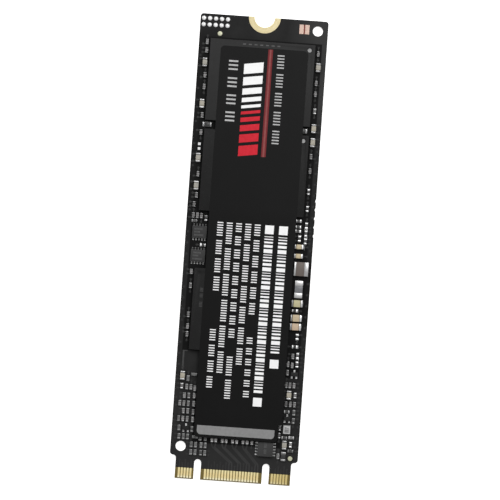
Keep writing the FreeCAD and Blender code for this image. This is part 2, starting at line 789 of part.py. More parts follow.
MEDIUM_CAPACITORS = (
    chip_row("upper_nand_left", -0.72, (2.85, -4.25))
    + chip_row("lower_nand_left", -0.72, (2.0, -2.8))
    + chip_row("upper_nand_right", 0.75, (3.25,))
    + chip_row("upper_nand_right", 0.7, (-7.25,))
    + chip_row("lower_nand_right", 0.7, (5.9,))
    + chip_row("right_field", -2.4, (1.1, -0.5), ACROSS)
    + chip_row("right_field", -2.3, (-24.42,))
    + chip_row("right_field", -2.5, (-33.02,))
    + chip_row("tail_left", 1.25, (13.7,))
)
MEDIUM_RESISTORS = (
    chip_row("lower_nand_left", 0.38, (7.78,), ACROSS)
    + chip_row("lower_nand_right", -1.17, (7.78,), ACROSS)
    + chip_row("right_field", -2.55, (-35.0,))
)
LARGE_CAPACITORS = chip_row("right_field", -2.05, (-8.65, -11.15, -12.65), ACROSS)


def make_chips(label, places, size_name, height):
    """Bricks and their metal ends, for every place on a list."""
    length = f"Sizes.{size_name}_length"
    width = f"Sizes.{size_name}_width"
    end = f"Sizes.{size_name}_end"
    body_length = f"{length} - 2 * {end}"
    end_width = f"{width} + 2 * Sizes.chip_wrap"
    end_height = f"{height} + Sizes.chip_wrap"
    out = f"({length} / 2 - {end} / 2)"
    bricks = []
    ends = []
    for index, (anchor, across, along, way) in enumerate(places):
        x, y = at_anchor(anchor, across, along)
        name = f"{label}_{index}"
        if way == ALONG:
            bricks.append(centred_box(name, x, y, TOP, width, body_length, height))
        else:
            bricks.append(centred_box(name, x, y, TOP, body_length, width, height))
        for side in (-1, 1):
            title = f"{name}_end_{side}"
            if way == ALONG:
                place = (x, f"{y} + {side} * {out}", TOP)
                ends.append(centred_box(title, *place, end_width, end, end_height))
            else:
                place = (f"{x} + {side} * {out}", y, TOP)
                ends.append(centred_box(title, *place, end, end_width, end_height))
    group(label, bricks)
    group(f"{label}_ends", ends)


def make_chip_parts():
    small_height = "Sizes.small_chip_height"
    make_chips("capacitors_small", SMALL_CAPACITORS, "small_chip", small_height)
    make_chips("capacitors_medium", MEDIUM_CAPACITORS, "medium_chip", "Sizes.medium_chip_height")
    make_chips("capacitors_large", LARGE_CAPACITORS, "large_chip", "Sizes.large_chip_height")
    make_chips("resistors_small", SMALL_RESISTORS, "small_chip", "Sizes.small_resistor_height")
    make_chips("resistors_medium", MEDIUM_RESISTORS, "medium_chip", "Sizes.medium_resistor_height")


def make_inductor():
    """Moulded power inductor with a narrow end on its left and a wide one on its right."""
    across = f"({HALF_WIDTH} - Sizes.inductor_edge_inset)"
    along = "Sizes.inductor_along"
    width = "Sizes.inductor_width"
    height = "Sizes.inductor_height"
    body = "Sizes.inductor_body_length"
    keep(centred_box("power_inductor", across, along, TOP, body, width, height), "power_inductor")
    ends = []
    for side, name, end in ((-1, "left", "Sizes.inductor_left_end"), (1, "right", "Sizes.inductor_right_end")):
        x = f"{across} + {side} * ({body} / 2 + {end} / 2)"
        ends.append(centred_box(f"inductor_{name}", x, along, TOP, end, width, height))
    group("power_inductor_ends", ends)


def make_fuse():
    across = f"({HALF_WIDTH} - Sizes.fuse_edge_inset)"
    along = "Sizes.fuse_along"
    width = "Sizes.fuse_width"
    end = "Sizes.fuse_end"
    body = "(Sizes.fuse_length - 2 * Sizes.fuse_end)"
    keep(centred_box("input_fuse", across, along, TOP, width, body, "Sizes.fuse_height"), "input_fuse")
    ends = []
    for side in (-1, 1):
        y = f"{along} + {side} * (Sizes.fuse_length / 2 - {end} / 2)"
        end_width = f"{width} + 2 * Sizes.chip_wrap"
        end_height = "Sizes.fuse_height + Sizes.chip_wrap"
        ends.append(centred_box(f"fuse_end_{side}", across, y, TOP, end_width, end, end_height))
    group("input_fuse_ends", ends)


def make_label():
    """Printed sheet on top of the packages, relieved at its lower right corner."""
    label = new_body("label")
    left = "(Sizes.label_shift - Sizes.label_width / 2)"
    right = "(Sizes.label_shift + Sizes.label_width / 2)"
    foot = f"({LABEL_TOP_END} - Sizes.label_length)"
    outline = new_sketch(label, "label_outline", PACKAGE_TOP)
    add_rectangle(outline, left, right, foot, LABEL_TOP_END)
    add_pad(label, outline, "label_sheet", "Sizes.label_thickness")
    relief = new_sketch(label, "label_relief_outline", f"{PACKAGE_TOP} + Sizes.label_thickness")
    relief_left = f"{right} - Sizes.label_relief_width"
    add_rectangle(relief, relief_left, right, foot, f"{foot} + Sizes.label_relief_length")
    cut = add_pocket(label, relief, "label_relief", "Sizes.label_thickness")
    corners = [
        (number(left), number(LABEL_TOP_END)),
        (number(right), number(LABEL_TOP_END)),
        (number(left), number(foot)),
        (number(relief_left), number(foot)),
    ]
    round_edges(label, cut, "label_corners", corners, "Sizes.label_corner_radius")


def write_parts():
    """Check every object of the document, then write one file for each sub-part."""
    doc.recompute()
    for thing in doc.Objects:
        if "Invalid" in thing.State or "Error" in thing.State:
            raise RuntimeError(f"{thing.Label} failed: {thing.State}")
    for thing in subparts:
        if thing.Shape.isNull() or not thing.Shape.isValid():
            raise RuntimeError(f"{thing.Label} has no valid shape")
    os.makedirs("parts", exist_ok=True)
    for thing in subparts:
        thing.Shape.exportStep(f"parts/{thing.Label}.step")
        print(thing.Label, len(thing.Shape.Solids), round(thing.Shape.Volume, 4))


make_board()
make_notch_plating()
make_contacts("edge_contacts_top", 0.5, f"{TOP} - Sizes.plating_thickness")
make_contacts("edge_contacts_bottom", 0, "0")
make_bare_pads()
make_packages()
make_regulators()
make_power_switch()
make_transistors()
make_crystal()
make_chip_parts()
make_inductor()
make_fuse()
make_label()
write_parts()
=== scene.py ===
import functools
import math
import random

import bmesh
import bpy
from mathutils import Matrix, Vector


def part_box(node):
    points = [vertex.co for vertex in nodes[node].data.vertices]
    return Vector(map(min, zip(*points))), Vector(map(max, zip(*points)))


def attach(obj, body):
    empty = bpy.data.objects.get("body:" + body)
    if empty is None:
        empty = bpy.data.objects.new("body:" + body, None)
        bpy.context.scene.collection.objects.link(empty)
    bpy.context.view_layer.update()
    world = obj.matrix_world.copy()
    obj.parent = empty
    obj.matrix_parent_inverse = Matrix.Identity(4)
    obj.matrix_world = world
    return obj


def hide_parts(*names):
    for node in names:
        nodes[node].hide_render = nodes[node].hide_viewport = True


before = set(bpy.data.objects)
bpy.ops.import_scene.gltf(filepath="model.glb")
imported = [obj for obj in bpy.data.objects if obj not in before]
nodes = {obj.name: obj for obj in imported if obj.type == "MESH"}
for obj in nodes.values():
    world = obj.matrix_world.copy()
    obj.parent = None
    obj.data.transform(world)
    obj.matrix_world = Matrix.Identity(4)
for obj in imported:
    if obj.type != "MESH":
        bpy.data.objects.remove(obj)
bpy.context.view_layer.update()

# All sizes below are millimetres, and a piece is scaled to metres as it is made.
MM = 0.001


def span(node):
    """Lowest and highest corner of a CAD node, in millimetres."""
    low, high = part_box(node)
    return low / MM, high / MM


BOARD_LOW, BOARD_HIGH = span("circuit_board")
BOARD_TOP = BOARD_HIGH.z
LABEL_LOW, LABEL_HIGH = span("label")
CONTACT_LOW, CONTACT_HIGH = span("edge_contacts_top")
PACKAGE_TOP = span("nand_package_upper")[1].z
chance = random.Random(2280)

# Fields of copper under the mask, painted paler than the bare mask, which is left dark round the parts
# partly as painted shade; as left, right, foot and head
BORDER = 0.85
HEAD_LINE = span("nand_package_upper")[1].y + 0.3
FOOT_LINE = span("capacitors_small_ends")[0].y - 0.3
COPPER_AND_LIT_FIELDS = (
    (BOARD_LOW.x, BOARD_HIGH.x, HEAD_LINE, BOARD_HIGH.y),
    (BOARD_LOW.x, BOARD_LOW.x + BORDER, FOOT_LINE, HEAD_LINE),
    (BOARD_HIGH.x - BORDER, BOARD_HIGH.x, FOOT_LINE, HEAD_LINE),
    (BOARD_LOW.x + BORDER, LABEL_LOW.x, -24.4, span("dram_package")[0].y - 0.2),
    (BOARD_LOW.x, LABEL_LOW.x - 0.25, FOOT_LINE, -23.3),
    (LABEL_HIGH.x, BOARD_HIGH.x, FOOT_LINE, -21.6),
    (BOARD_LOW.x, BOARD_HIGH.x, CONTACT_HIGH.y + 0.05, FOOT_LINE),
)

# Broad patches of painted light and shade, where the mask over copper is painted darker or paler, as left,
# right, foot, head and grey
MASK_LIGHT_AND_SHADE_PATCHES = (
    (-14.0, -7.5, 3.0, 37.0, 21),
    (-14.0, -7.5, -34.0, -25.0, 41),
    (6.5, 14.0, 23.0, 42.0, 52),
    (6.5, 14.0, -13.0, -2.0, 18),
)


# Shader nodes


def add_node(tree, kind, inputs=None, **settings):
    """New shader node. An input gets a value, or a link if it is given another node's socket."""
    node = tree.nodes.new("ShaderNode" + kind)
    for name, value in settings.items():
        setattr(node, name, value)
    for name, value in (inputs or {}).items():
        if isinstance(value, bpy.types.NodeSocket):
            tree.links.new(value, node.inputs[name])
        else:
            node.inputs[name].default_value = value
    return node


def work_out(tree, operation, first, second=0.0):
    """Result of one sum on two values."""
    return add_node(tree, "Math", {0: first, 1: second}, operation=operation).outputs[0]


def remap(tree, value, low, high, new_low=0.0, new_high=1.0):
    """Value moved from one range to another, and held inside it."""
    numbers = {"Value": value, "From Min": low, "From Max": high, "To Min": new_low, "To Max": new_high}
    return add_node(tree, "MapRange", numbers).outputs["Result"]


def mix_colours(tree, mask, first, second):
    """First colour where the mask is 0, second where it is 1."""
    return add_node(tree, "Mix", {0: mask, 6: first, 7: second}, data_type="RGBA").outputs[2]


def place_parts(tree):
    """Where a point is on the drive, as three values in metres."""
    point = add_node(tree, "TexCoord").outputs["Object"]
    return add_node(tree, "SeparateXYZ", {0: point}).outputs


def inside(tree, parts, box, soft=0.05):
    """Mask of an upright box on the board, given in millimetres, with soft sides."""
    left, right, foot, head = box
    masks = []
    for axis, edge, inward in (("X", left, 1), ("X", right, -1), ("Y", foot, 1), ("Y", head, -1)):
        masks.append(remap(tree, parts[axis], (edge - inward * soft) * MM, (edge + inward * soft) * MM))
    first, second = (work_out(tree, "MINIMUM", *masks[at:at + 2]) for at in (0, 2))
    return work_out(tree, "MINIMUM", first, second)


def new_group(name, inputs, outputs):
    """Shader node group with named value inputs and outputs."""
    tree = bpy.data.node_groups.new(name, "ShaderNodeTree")
    for title, value in inputs.items():
        socket = tree.interface.new_socket(name=title, in_out="INPUT", socket_type="NodeSocketFloat")
        socket.default_value = value
    for title in outputs:
        tree.interface.new_socket(name=title, in_out="OUTPUT", socket_type="NodeSocketFloat")
    return tree, tree.nodes.new("NodeGroupInput").outputs, tree.nodes.new("NodeGroupOutput").inputs


def use_group(tree, group, **inputs):
    """Outputs of a node group placed in a material."""
    node = tree.nodes.new("ShaderNodeGroup")
    node.node_tree = group
    for name, value in inputs.items():
        node.inputs[name].default_value = value
    return node.outputs


def make_grain_group():
    """Fine grain for bump and roughness, and a broad mottle for colour."""
    inputs = {"Grain": 9000.0, "Patch": 260.0}
    tree, given, result = new_group("fine_grain", inputs, ("Height", "Mottle"))
    point = add_node(tree, "TexCoord").outputs["Object"]
    grain = {"Vector": point, "Scale": given["Grain"], "Detail": 3.0, "Roughness": 0.6}
    patch = {"Vector": point, "Scale": given["Patch"], "Detail": 5.0, "Roughness": 0.55}
    tree.links.new(add_node(tree, "TexNoise", grain).outputs[0], result["Height"])
    patches = add_node(tree, "TexNoise", patch).outputs[0]
    tree.links.new(remap(tree, patches, 0.3, 0.7), result["Mottle"])
    return tree


def make_rub_group():
    """Hairline rub marks that run along the drive."""
    inputs = {"Across": 5200.0, "Along": 160.0, "Cover": 0.3}
    tree, given, result = new_group("rub_marks", inputs, ("Mask",))
    parts = place_parts(tree)
    across = work_out(tree, "MULTIPLY", parts["X"], given["Across"])
    along = work_out(tree, "MULTIPLY", parts["Y"], given["Along"])
    stretched = add_node(tree, "CombineXYZ", {"X": across, "Y": along, "Z": 0.0}).outputs[0]
    streaks = add_node(tree, "TexNoise", {"Vector": stretched, "Scale": 1.0, "Detail": 2.0}).outputs[0]
    faintest, strongest = 0.78, 0.82
    edge = work_out(tree, "SUBTRACT", faintest, work_out(tree, "MULTIPLY", given["Cover"], 0.5))
    tree.links.new(remap(tree, streaks, edge, strongest), result["Mask"])
    return tree


def make_speck_group():
    """Pale specks of filler, in some of the cells of a random pattern."""
    tree, given, result = new_group("filler_specks", {"Spacing": 900.0, "Size": 0.09}, ("Mask",))
    point = add_node(tree, "TexCoord").outputs["Object"]
    cells = add_node(tree, "TexVoronoi", {"Vector": point, "Scale": given["Spacing"]})
    near = work_out(tree, "LESS_THAN", cells.outputs["Distance"], given["Size"])
    share_left_plain = 0.62
    chosen = work_out(tree, "GREATER_THAN", cells.outputs["Color"], share_left_plain)
    tree.links.new(work_out(tree, "MULTIPLY", near, chosen), result["Mask"])
    return tree


def make_tone_group():
    """The tone that each separate solid carries, spread over a chosen range."""
    tree, given, result = new_group("piece_tone", {"Low": 0.0, "High": 1.0}, ("Tone",))
    tone = add_node(tree, "Attribute", attribute_name="tone").outputs["Fac"]
    tree.links.new(remap(tree, tone, 0.0, 1.0, given["Low"], given["High"]), result["Tone"])
    return tree


FINE_GRAIN = make_grain_group()
RUB_MARKS = make_rub_group()
FILLER_SPECKS = make_speck_group()
PIECE_TONE = make_tone_group()


# Finishes


def tone(red, green, blue):
    """Colour of a finish, from the eight-bit values of a screen."""
    linear = []
    for part in (red, green, blue):
        share = part / 255
        linear.append(share / 12.92 if share <= 0.04045 else ((share + 0.055) / 1.055) ** 2.4)
    return (*linear, 1.0)


def grey(value):
    return tone(value, value, value)


def new_finish(name, **constants):
    """Material with its shader's constant inputs set, its node tree and its shader."""
    material = bpy.data.materials.new(name)
    material.use_nodes = True
    tree = material.node_tree
    shader = tree.nodes["Principled BSDF"]
    for title, value in constants.items():
        shader.inputs[title.replace("_", " ")].default_value = value
    return material, tree, shader


def finish_from_grain(name, dark, light, roughness, depth, grain, patch, mottle=None, **constants):
    """Finish from dark to light in patches, with fine grain in its gloss and relief."""
    material, tree, shader = new_finish(name, **constants)
    texture = use_group(tree, FINE_GRAIN, Grain=grain, Patch=patch)
    shade = texture["Mottle"]
    # With a mottle, the colour goes by the tone of each separate solid, and the patches add only that much
    if mottle:
        own_tone = use_group(tree, PIECE_TONE, Low=0.0, High=1.0 - mottle / 2)["Tone"]
        shade = work_out(tree, "ADD", own_tone, work_out(tree, "MULTIPLY", shade, mottle))
    tree.links.new(mix_colours(tree, shade, dark, light), shader.inputs["Base Color"])
    tree.links.new(remap(tree, texture["Height"], 0.2, 0.8, *roughness), shader.inputs["Roughness"])
    relief = {"Height": texture["Height"], "Strength": 0.5, "Distance": depth * MM}
    tree.links.new(add_node(tree, "Bump", relief).outputs["Normal"], shader.inputs["Normal"])
    return material, tree, shader, texture


def paint_over(tree, shader, mask, colour):
    """Another colour over a finish's own, where the mask is 1."""
    own_colour = shader.inputs["Base Color"].links[0].from_socket
    tree.links.new(mix_colours(tree, mask, own_colour, colour), shader.inputs["Base Color"])


MASK_TEXTURE = {"grain": 5200.0, "patch": 420.0}


def paint_copper_and_light(tree, shader, texture, parts):
    """Mask over the fields of copper: paler, uneven and a little raised. Outside them the bare mask stays
    dark, partly as painted shade round the parts.
    """
    copper = 0.0
    for box in COPPER_AND_LIT_FIELDS:
        copper = work_out(tree, "MAXIMUM", copper, inside(tree, parts, box))
    pale = mix_colours(tree, texture["Mottle"], grey(31), grey(39))
    # Painted light and shade in broad patches over the copper's tone
    for *patch, level in MASK_LIGHT_AND_SHADE_PATCHES:
        pale = mix_colours(tree, inside(tree, parts, patch, soft=2.5), pale, grey(level))
    near_foot = remap(tree, parts["Y"], (FOOT_LINE + 1.0) * MM, (FOOT_LINE - 2.0) * MM)
    paint_over(tree, shader, copper, mix_colours(tree, near_foot, pale, grey(42)))
    relief = work_out(tree, "ADD", copper, work_out(tree, "MULTIPLY", texture["Height"], 0.5))
    bump = shader.inputs["Normal"].links[0].from_node
    tree.links.new(relief, bump.inputs["Height"])


def paint_windows(tree, shader, parts):
    """Bare laminate in the sunk windows of the mask, round the edge contacts."""
    hair = 0.01
    half = BOARD_TOP / 2
    tongue = work_out(tree, "LESS_THAN", parts["Y"], (CONTACT_HIGH.y + hair) * MM)
    off_middle = work_out(tree, "ABSOLUTE", work_out(tree, "SUBTRACT", parts["Z"], half * MM))
    sunk = work_out(tree, "LESS_THAN", off_middle, (half - hair) * MM)
    paint_over(tree, shader, work_out(tree, "MULTIPLY", tongue, sunk), tone(112, 98, 56))


def paint_cut_edges(tree, shader, parts):
    """Layers of glass and resin where the board is cut."""
    normal = add_node(tree, "NewGeometry").outputs["Normal"]
    facing_up = work_out(tree, "ABSOLUTE", add_node(tree, "SeparateXYZ", {0: normal}).outputs["Z"])
    layer_rate = 47000.0
    layer = work_out(tree, "SINE", work_out(tree, "MULTIPLY", parts["Z"], layer_rate))
    laminate = mix_colours(tree, remap(tree, layer, 0.2, 0.9), tone(50, 44, 34), tone(80, 70, 52))
    paint_over(tree, shader, work_out(tree, "LESS_THAN", facing_up, 0.6), laminate)


def make_board_finish():
    """Black solder mask, with the copper under it and the laminate where it is open. Its dark base off the
    copper is partly painted shade round the parts.
    """
    # Dark base of the mask: partly its own colour, partly painted shade round the parts
    material, tree, shader, texture = finish_from_grain(
        "black_mask", grey(13), grey(17), roughness=(0.4, 0.54), depth=0.012, **MASK_TEXTURE,
        Specular_IOR_Level=0.06,
    )
    parts = place_parts(tree)
    paint_copper_and_light(tree, shader, texture, parts)
    paint_windows(tree, shader, parts)
    paint_cut_edges(tree, shader, parts)
    return material


def make_mask(name, dark, light):
    """Mask where it runs over copper, or the laminate where it is left open."""
    material, *_ = finish_from_grain(
        name, dark, light, roughness=(0.36, 0.5), depth=0.004, **MASK_TEXTURE, Specular_IOR_Level=0.12
    )
    return material


def make_contact_gold():
    """Plated contacts: paler at the leading edge, with painted shade that deepens them to the right, and
    rub marks along them.
    """
    material, tree, shader, _ = finish_from_grain(
        "contact_gold", tone(226, 212, 155), tone(236, 226, 179), roughness=(0.36, 0.5), depth=0.004,
        grain=7000.0, patch=900.0, Metallic=0.7,
    )
    parts = place_parts(tree)
    along = parts["Y"]
    foot = CONTACT_LOW.y * MM
    head = CONTACT_HIGH.y * MM
    fade = 0.75 * MM
    pale_head = 0.15 * MM
    pale_foot = 0.4 * MM
    up_to_middle = remap(tree, along, foot, foot + fade)
    past_middle = remap(tree, along, head - pale_head, head - fade)
    paint_over(tree, shader, work_out(tree, "MULTIPLY", up_to_middle, past_middle), tone(232, 212, 156))
    paint_over(tree, shader, remap(tree, along, foot + pale_foot, foot), tone(250, 244, 214))
    # Painted shade: the gold darkens towards the right
    shaded_to_the_right = remap(tree, parts["X"], 3.0 * MM, 9.0 * MM, new_high=0.75)
    paint_over(tree, shader, shaded_to_the_right, tone(192, 172, 106))
    rubbed = use_group(tree, RUB_MARKS, Across=16000.0, Along=220.0, Cover=0.5)["Mask"]
    paint_over(tree, shader, work_out(tree, "MULTIPLY", rubbed, 0.7), tone(196, 176, 122))
    return material


def make_ring_gold():
    """Gold round the screw notch, with rings rubbed by a screw head."""
    material, tree, shader, _ = finish_from_grain(
        "ring_gold", tone(170, 158, 121), tone(182, 171, 136), roughness=(0.28, 0.42), depth=0.004,
        grain=6000.0, patch=700.0, Metallic=0.6,
    )
    parts = place_parts(tree)
    across = work_out(tree, "POWER", parts["X"], 2.0)
    along = work_out(tree, "POWER", work_out(tree, "SUBTRACT", parts["Y"], BOARD_HIGH.y * MM), 2.0)
    out = work_out(tree, "SQRT", work_out(tree, "ADD", across, along))
    ring_rate = 9000.0
    rings = add_node(tree, "CombineXYZ", {"X": work_out(tree, "MULTIPLY", out, ring_rate)}).outputs[0]
    lines = add_node(tree, "TexNoise", {"Vector": rings, "Scale": 1.0, "Detail": 1.0}).outputs[0]
    paint_over(tree, shader, remap(tree, lines, 0.5, 0.75, new_high=0.55), tone(152, 136, 95))
    return material


def make_metal(name, dark, light, roughness, depth=0.006, grain=3800.0, metallic=1.0):
    """Metal whose separate solids differ in tone."""
    material, *_ = finish_from_grain(
        name, dark, light, roughness, depth, grain, patch=900.0, mottle=0.08, Metallic=metallic
    )
    return material


def make_mould(name, dark, light, band=None, recess=None):
    """Epoxy mould compound with filler specks, and where asked, a laminate band and a sunk pin mark."""
    material, tree, shader, _ = finish_from_grain(
        name, dark, light, roughness=(0.42, 0.58), depth=0.01, grain=11000.0, patch=300.0, mottle=0.2,
        Specular_IOR_Level=0.1,
    )
    specks = use_group(tree, FILLER_SPECKS, Spacing=5200.0, Size=0.16)["Mask"]
    paint_over(tree, shader, work_out(tree, "MULTIPLY", specks, 0.6), grey(72))
    height = place_parts(tree)["Z"]
    if band:
        paint_over(tree, shader, work_out(tree, "LESS_THAN", height, band * MM), tone(40, 47, 36))
    if recess:
        low, high = recess
        above = work_out(tree, "GREATER_THAN", height, low * MM)
        below = work_out(tree, "LESS_THAN", height, high * MM)
        paint_over(tree, shader, work_out(tree, "MULTIPLY", above, below), grey(150))
    return material


def make_label_film():
    """Satin black film with faint rub marks."""
    material, tree, shader, _ = finish_from_grain(
        "label_film", grey(9), grey(12), roughness=(0.36, 0.46), depth=0.003, grain=4200.0, patch=120.0,
        Specular_IOR_Level=0.1,
    )
    rubbed = use_group(tree, RUB_MARKS, Across=900.0, Along=90.0, Cover=0.16)["Mask"]
    paint_over(tree, shader, work_out(tree, "MULTIPLY", rubbed, 0.1), grey(60))
    return material


def make_ink(name, dark, light):
    """Printed ink, a little uneven."""
    material, *_ = finish_from_grain(
        name, dark, light, roughness=(0.45, 0.62), depth=0.002, grain=6000.0, patch=2200.0,
        Specular_IOR_Level=0.2,
    )
    return material


def make_ceramic(name, dark, light, roughness=(0.36, 0.52)):
    """Fired ceramic whose separate chips differ in tone."""
    material, *_ = finish_from_grain(
        name, dark, light, roughness, depth=0.008, grain=6500.0, patch=1500.0, mottle=0.16,
        Specular_IOR_Level=0.3,
    )
    return material


# Heights of the top of the packages' laminate, and of the floor of the memories' sunk pin mark
BAND_TOP = 1.22
PIN_MARK = (PACKAGE_TOP - 0.06, PACKAGE_TOP - 0.04)

FINISH = {
    "board": make_board_finish(),
    "mask_over_copper": make_mask("mask_over_copper", grey(45), grey(54)),
    "mask_over_via": make_mask("mask_over_via", grey(38), grey(48)),
    "open_laminate": make_mask("open_laminate", tone(20, 20, 18), tone(27, 26, 23)),
    "contact_gold": make_contact_gold(),
    "ring_gold": make_ring_gold(),
    "solder": make_metal("tin_solder", grey(66), grey(250), roughness=(0.24, 0.4)),
    "end_plating": make_metal("end_plating", grey(66), grey(252), roughness=(0.26, 0.44)),
    "lead_plating": make_metal("lead_plating", grey(54), grey(244), roughness=(0.28, 0.44)),
    "pad_metal": make_metal("pad_metal", grey(206), grey(222), roughness=(0.3, 0.5), metallic=0.35),
    "fiducial_metal": make_metal(
        "fiducial_metal", tone(176, 177, 150), tone(186, 186, 162), roughness=(0.3, 0.5), metallic=0.35
    ),
    "bare_copper": make_metal(
        "bare_copper", tone(168, 144, 132), tone(178, 157, 147), roughness=(0.3, 0.5), metallic=0.6
    ),
    "marked_mould": make_mould(
        "marked_mould_compound", grey(24), grey(44), band=BAND_TOP, recess=PIN_MARK
    ),
    "mould": make_mould("mould_compound", grey(24), grey(44), band=BAND_TOP),
    "small_mould": make_mould("small_mould_compound", grey(20), grey(64)),
    "label": make_label_film(),
    "white_ink": make_ink("white_ink", grey(238), grey(245)),
    "line_ink": make_ink("pale_grey_ink", grey(168), grey(186)),
    "red_ink": make_ink("red_ink", tone(190, 20, 38), tone(206, 28, 48)),
    "stripe_ink": make_ink("dark_red_ink", tone(104, 24, 29), tone(116, 32, 35)),
    "stripe_core_ink": make_ink("dull_red_ink", tone(128, 62, 62), tone(140, 72, 70)),
    "bar_ink": make_ink("silver_grey_ink", grey(128), grey(138)),
    "laser_mark": make_ink("laser_mark", grey(72), grey(92)),
    "faint_mark": make_ink("faint_laser_mark", grey(58), grey(74)),
    "lid_mark": make_ink("lid_mark", grey(70), grey(92)),
    "silkscreen": make_ink("silkscreen", grey(54), grey(66)),
    "bridge": make_ink("pad_bridge", tone(110, 52, 44), tone(132, 66, 54)),
    "dark_ceramic": make_ceramic("dark_ceramic", tone(24, 23, 23), tone(157, 155, 155)),
    "cream_ceramic": make_ceramic("cream_ceramic", tone(150, 149, 143), tone(196, 179, 142)),
    "tan_ceramic": make_ceramic("tan_ceramic", tone(180, 177, 137), tone(190, 166, 143)),
    "alumina": make_ceramic("alumina", tone(196, 194, 188), tone(222, 220, 214)),
    "resistor_coat": make_ceramic("resistor_coat", grey(20), grey(116), roughness=(0.25, 0.42)),
    "ferrite": make_ceramic("ferrite_grey", tone(92, 84, 79), tone(104, 95, 89)),
    "fuse_glaze": make_ceramic(
        "fuse_glaze", tone(104, 105, 108), tone(118, 119, 122), roughness=(0.2, 0.35)
    ),
    "crystal_ceramic": make_ceramic("crystal_ceramic", grey(60), grey(78)),
    "lid_field": make_metal(
        "lid_field_metal", grey(130), grey(162), roughness=(0.4, 0.56), grain=2600.0
    ),
    "crystal_lid": make_metal(
        "crystal_lid_metal", grey(172), grey(200), roughness=(0.34, 0.5), depth=0.004, grain=2600.0
    ),
}


# Meshes


# Corners nearer than this, in metres, are one corner, and faces within this angle, in radians, are one face
WELD = 1e-7
FLAT = 0.01


def welded_copy(node):
    """Editable copy of a CAD node's mesh, with the corners that faces share joined."""
    shape = bmesh.new()
    shape.from_mesh(nodes[node].data)
    bmesh.ops.remove_doubles(shape, verts=shape.verts, dist=WELD)
    return shape


def whole_faced_copy(node):
    """Editable copy of a CAD node's mesh, with its flat faces in one piece."""
    shape = welded_copy(node)
    bmesh.ops.dissolve_limit(shape, angle_limit=FLAT, verts=shape.verts, edges=shape.edges)
    return shape


def mesh_from(shape, name):
    """Mesh of an edited copy, without the shading that it was copied with."""
    mesh = bpy.data.meshes.new(name)
    shape.to_mesh(mesh)
    shape.free()
    if "custom_normal" in mesh.attributes:
        mesh.attributes.remove(mesh.attributes["custom_normal"])
    return mesh


def joined_corners(first, unseen):
    """Places of all corners that edges join to a first one. They are taken out of the unseen ones."""
    unseen.remove(first)
    waiting = [first]
    places = [first.co / MM]
    while waiting:
        for edge in waiting.pop().link_edges:
            for corner in edge.verts:
                if corner in unseen:
                    unseen.remove(corner)
                    waiting.append(corner)
                    places.append(corner.co / MM)
    return places


@functools.lru_cache(maxsize=None)
def solids_of(node):
    """Lowest and highest corner of each separate solid in a CAD node, in millimetres."""
    shape = welded_copy(node)
    unseen = set(shape.verts)
    solids = []
    for first in shape.verts:
        if first in unseen:
            places = joined_corners(first, unseen)
            low = Vector([min(place[axis] for place in places) for axis in range(3)])
            high = Vector([max(place[axis] for place in places) for axis in range(3)])
            solids.append((low, high))
    shape.free()
    return sorted(solids, key=lambda solid: (round(solid[0].y, 3), round(solid[0].x, 3)))


def set_up(mesh, name, finish, slot, stands_for=(), smooth=35.0):
    """Object for a finished mesh: shaded, painted and riding on the drive."""
    mesh.shade_smooth()
    mesh.set_sharp_from_angle(angle=math.radians(smooth))
    mesh.materials.append(FINISH[finish])
    piece = bpy.data.objects.new(name, mesh)
    bpy.context.scene.collection.objects.link(piece)
    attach(piece, "root")
    if stands_for:
        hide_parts(*stands_for)


def carry_tones(mesh, tones):
    """Gives each corner of a mesh the tone that its finish is shaded by."""
    mesh.attributes.new("tone", "FLOAT", "POINT").data.foreach_set("value", tones)


class Pile:
    """Points, faces and tones gathered for one piece, in millimetres."""

    def __init__(self):
        self.points = []
        self.faces = []
        self.tones = []

    def add(self, shape, at=(0.0, 0.0, 0.0), shade=0.5):
        points, faces = shape
        start = len(self.points)
        place = Vector(at)
        self.points.extend(Vector(point) + place for point in points)
        self.faces.extend(tuple(start + index for index in face) for face in faces)
        self.tones.extend([shade] * len(points))

    def piece(self, name, finish, slot, stands_for=(), smooth=35.0, bend=None):
        mesh = bpy.data.meshes.new(name)
        mesh.from_pydata([point * MM for point in self.points], [], self.faces)
        carry_tones(mesh, self.tones)
        shape = bmesh.new()
        shape.from_mesh(mesh)
        bmesh.ops.recalc_face_normals(shape, faces=shape.faces)
        if bend:
            bend(shape)
        shape.to_mesh(mesh)
        shape.free()
        set_up(mesh, name, finish, slot, stands_for, smooth)


def round_edges(shape, edges, rounding):
    bmesh.ops.bevel(shape, geom=edges, offset=rounding, segments=2, profile=0.5, affect="EDGES")


@functools.lru_cache(maxsize=None)
def rounded_block(length, width, height, rounding):
    """Block with rounded edges, round its middle and standing on its foot."""
    shape = bmesh.new()
    bmesh.ops.create_cube(shape, size=1.0, matrix=Matrix.Diagonal((length, width, height, 1.0)))
    round_edges(shape, list(shape.edges), rounding)
    shape.verts.index_update()
    points = [(corner.co.x, corner.co.y, corner.co.z + height / 2) for corner in shape.verts]
    faces = [tuple(corner.index for corner in face.verts) for face in shape.faces]
    shape.free()
    return points, faces


def block(length, width, height, rounding):
    """Rounded block of a size to the nearest micrometre, so that like blocks are made once."""
    return rounded_block(round(length, 3), round(width, 3), round(height, 3), rounding)


def loft(rings):
    """Closed shape through rings of as many points each, with a flat face on the first and the last."""
    count = len(rings[0])
    points = [point for ring in rings for point in ring]
    faces = [tuple(range(count))[::-1], tuple(range(len(points) - count, len(points)))]
    for low in range(0, len(points) - count, count):
        for step in range(count):
            after = (step + 1) % count
            faces.append((low + step, low + after, low + count + after, low + count + step))
    return points, faces


@functools.lru_cache(maxsize=None)
def turned(profile, steps):
    """Round shape from (radius, height) pairs, listed from its foot to its crown."""
    angles = [2 * math.pi * step / steps for step in range(steps)]
    rings = []
    for radius, height in profile:
        rings.append([(radius * math.cos(angle), radius * math.sin(angle), height) for angle in angles])
    return loft(rings)


def prism(outline, height):
    """Upright prism on a flat outline of (across, along) points."""
    return loft([[(x, y, rise) for x, y in outline] for rise in (0.0, height)])


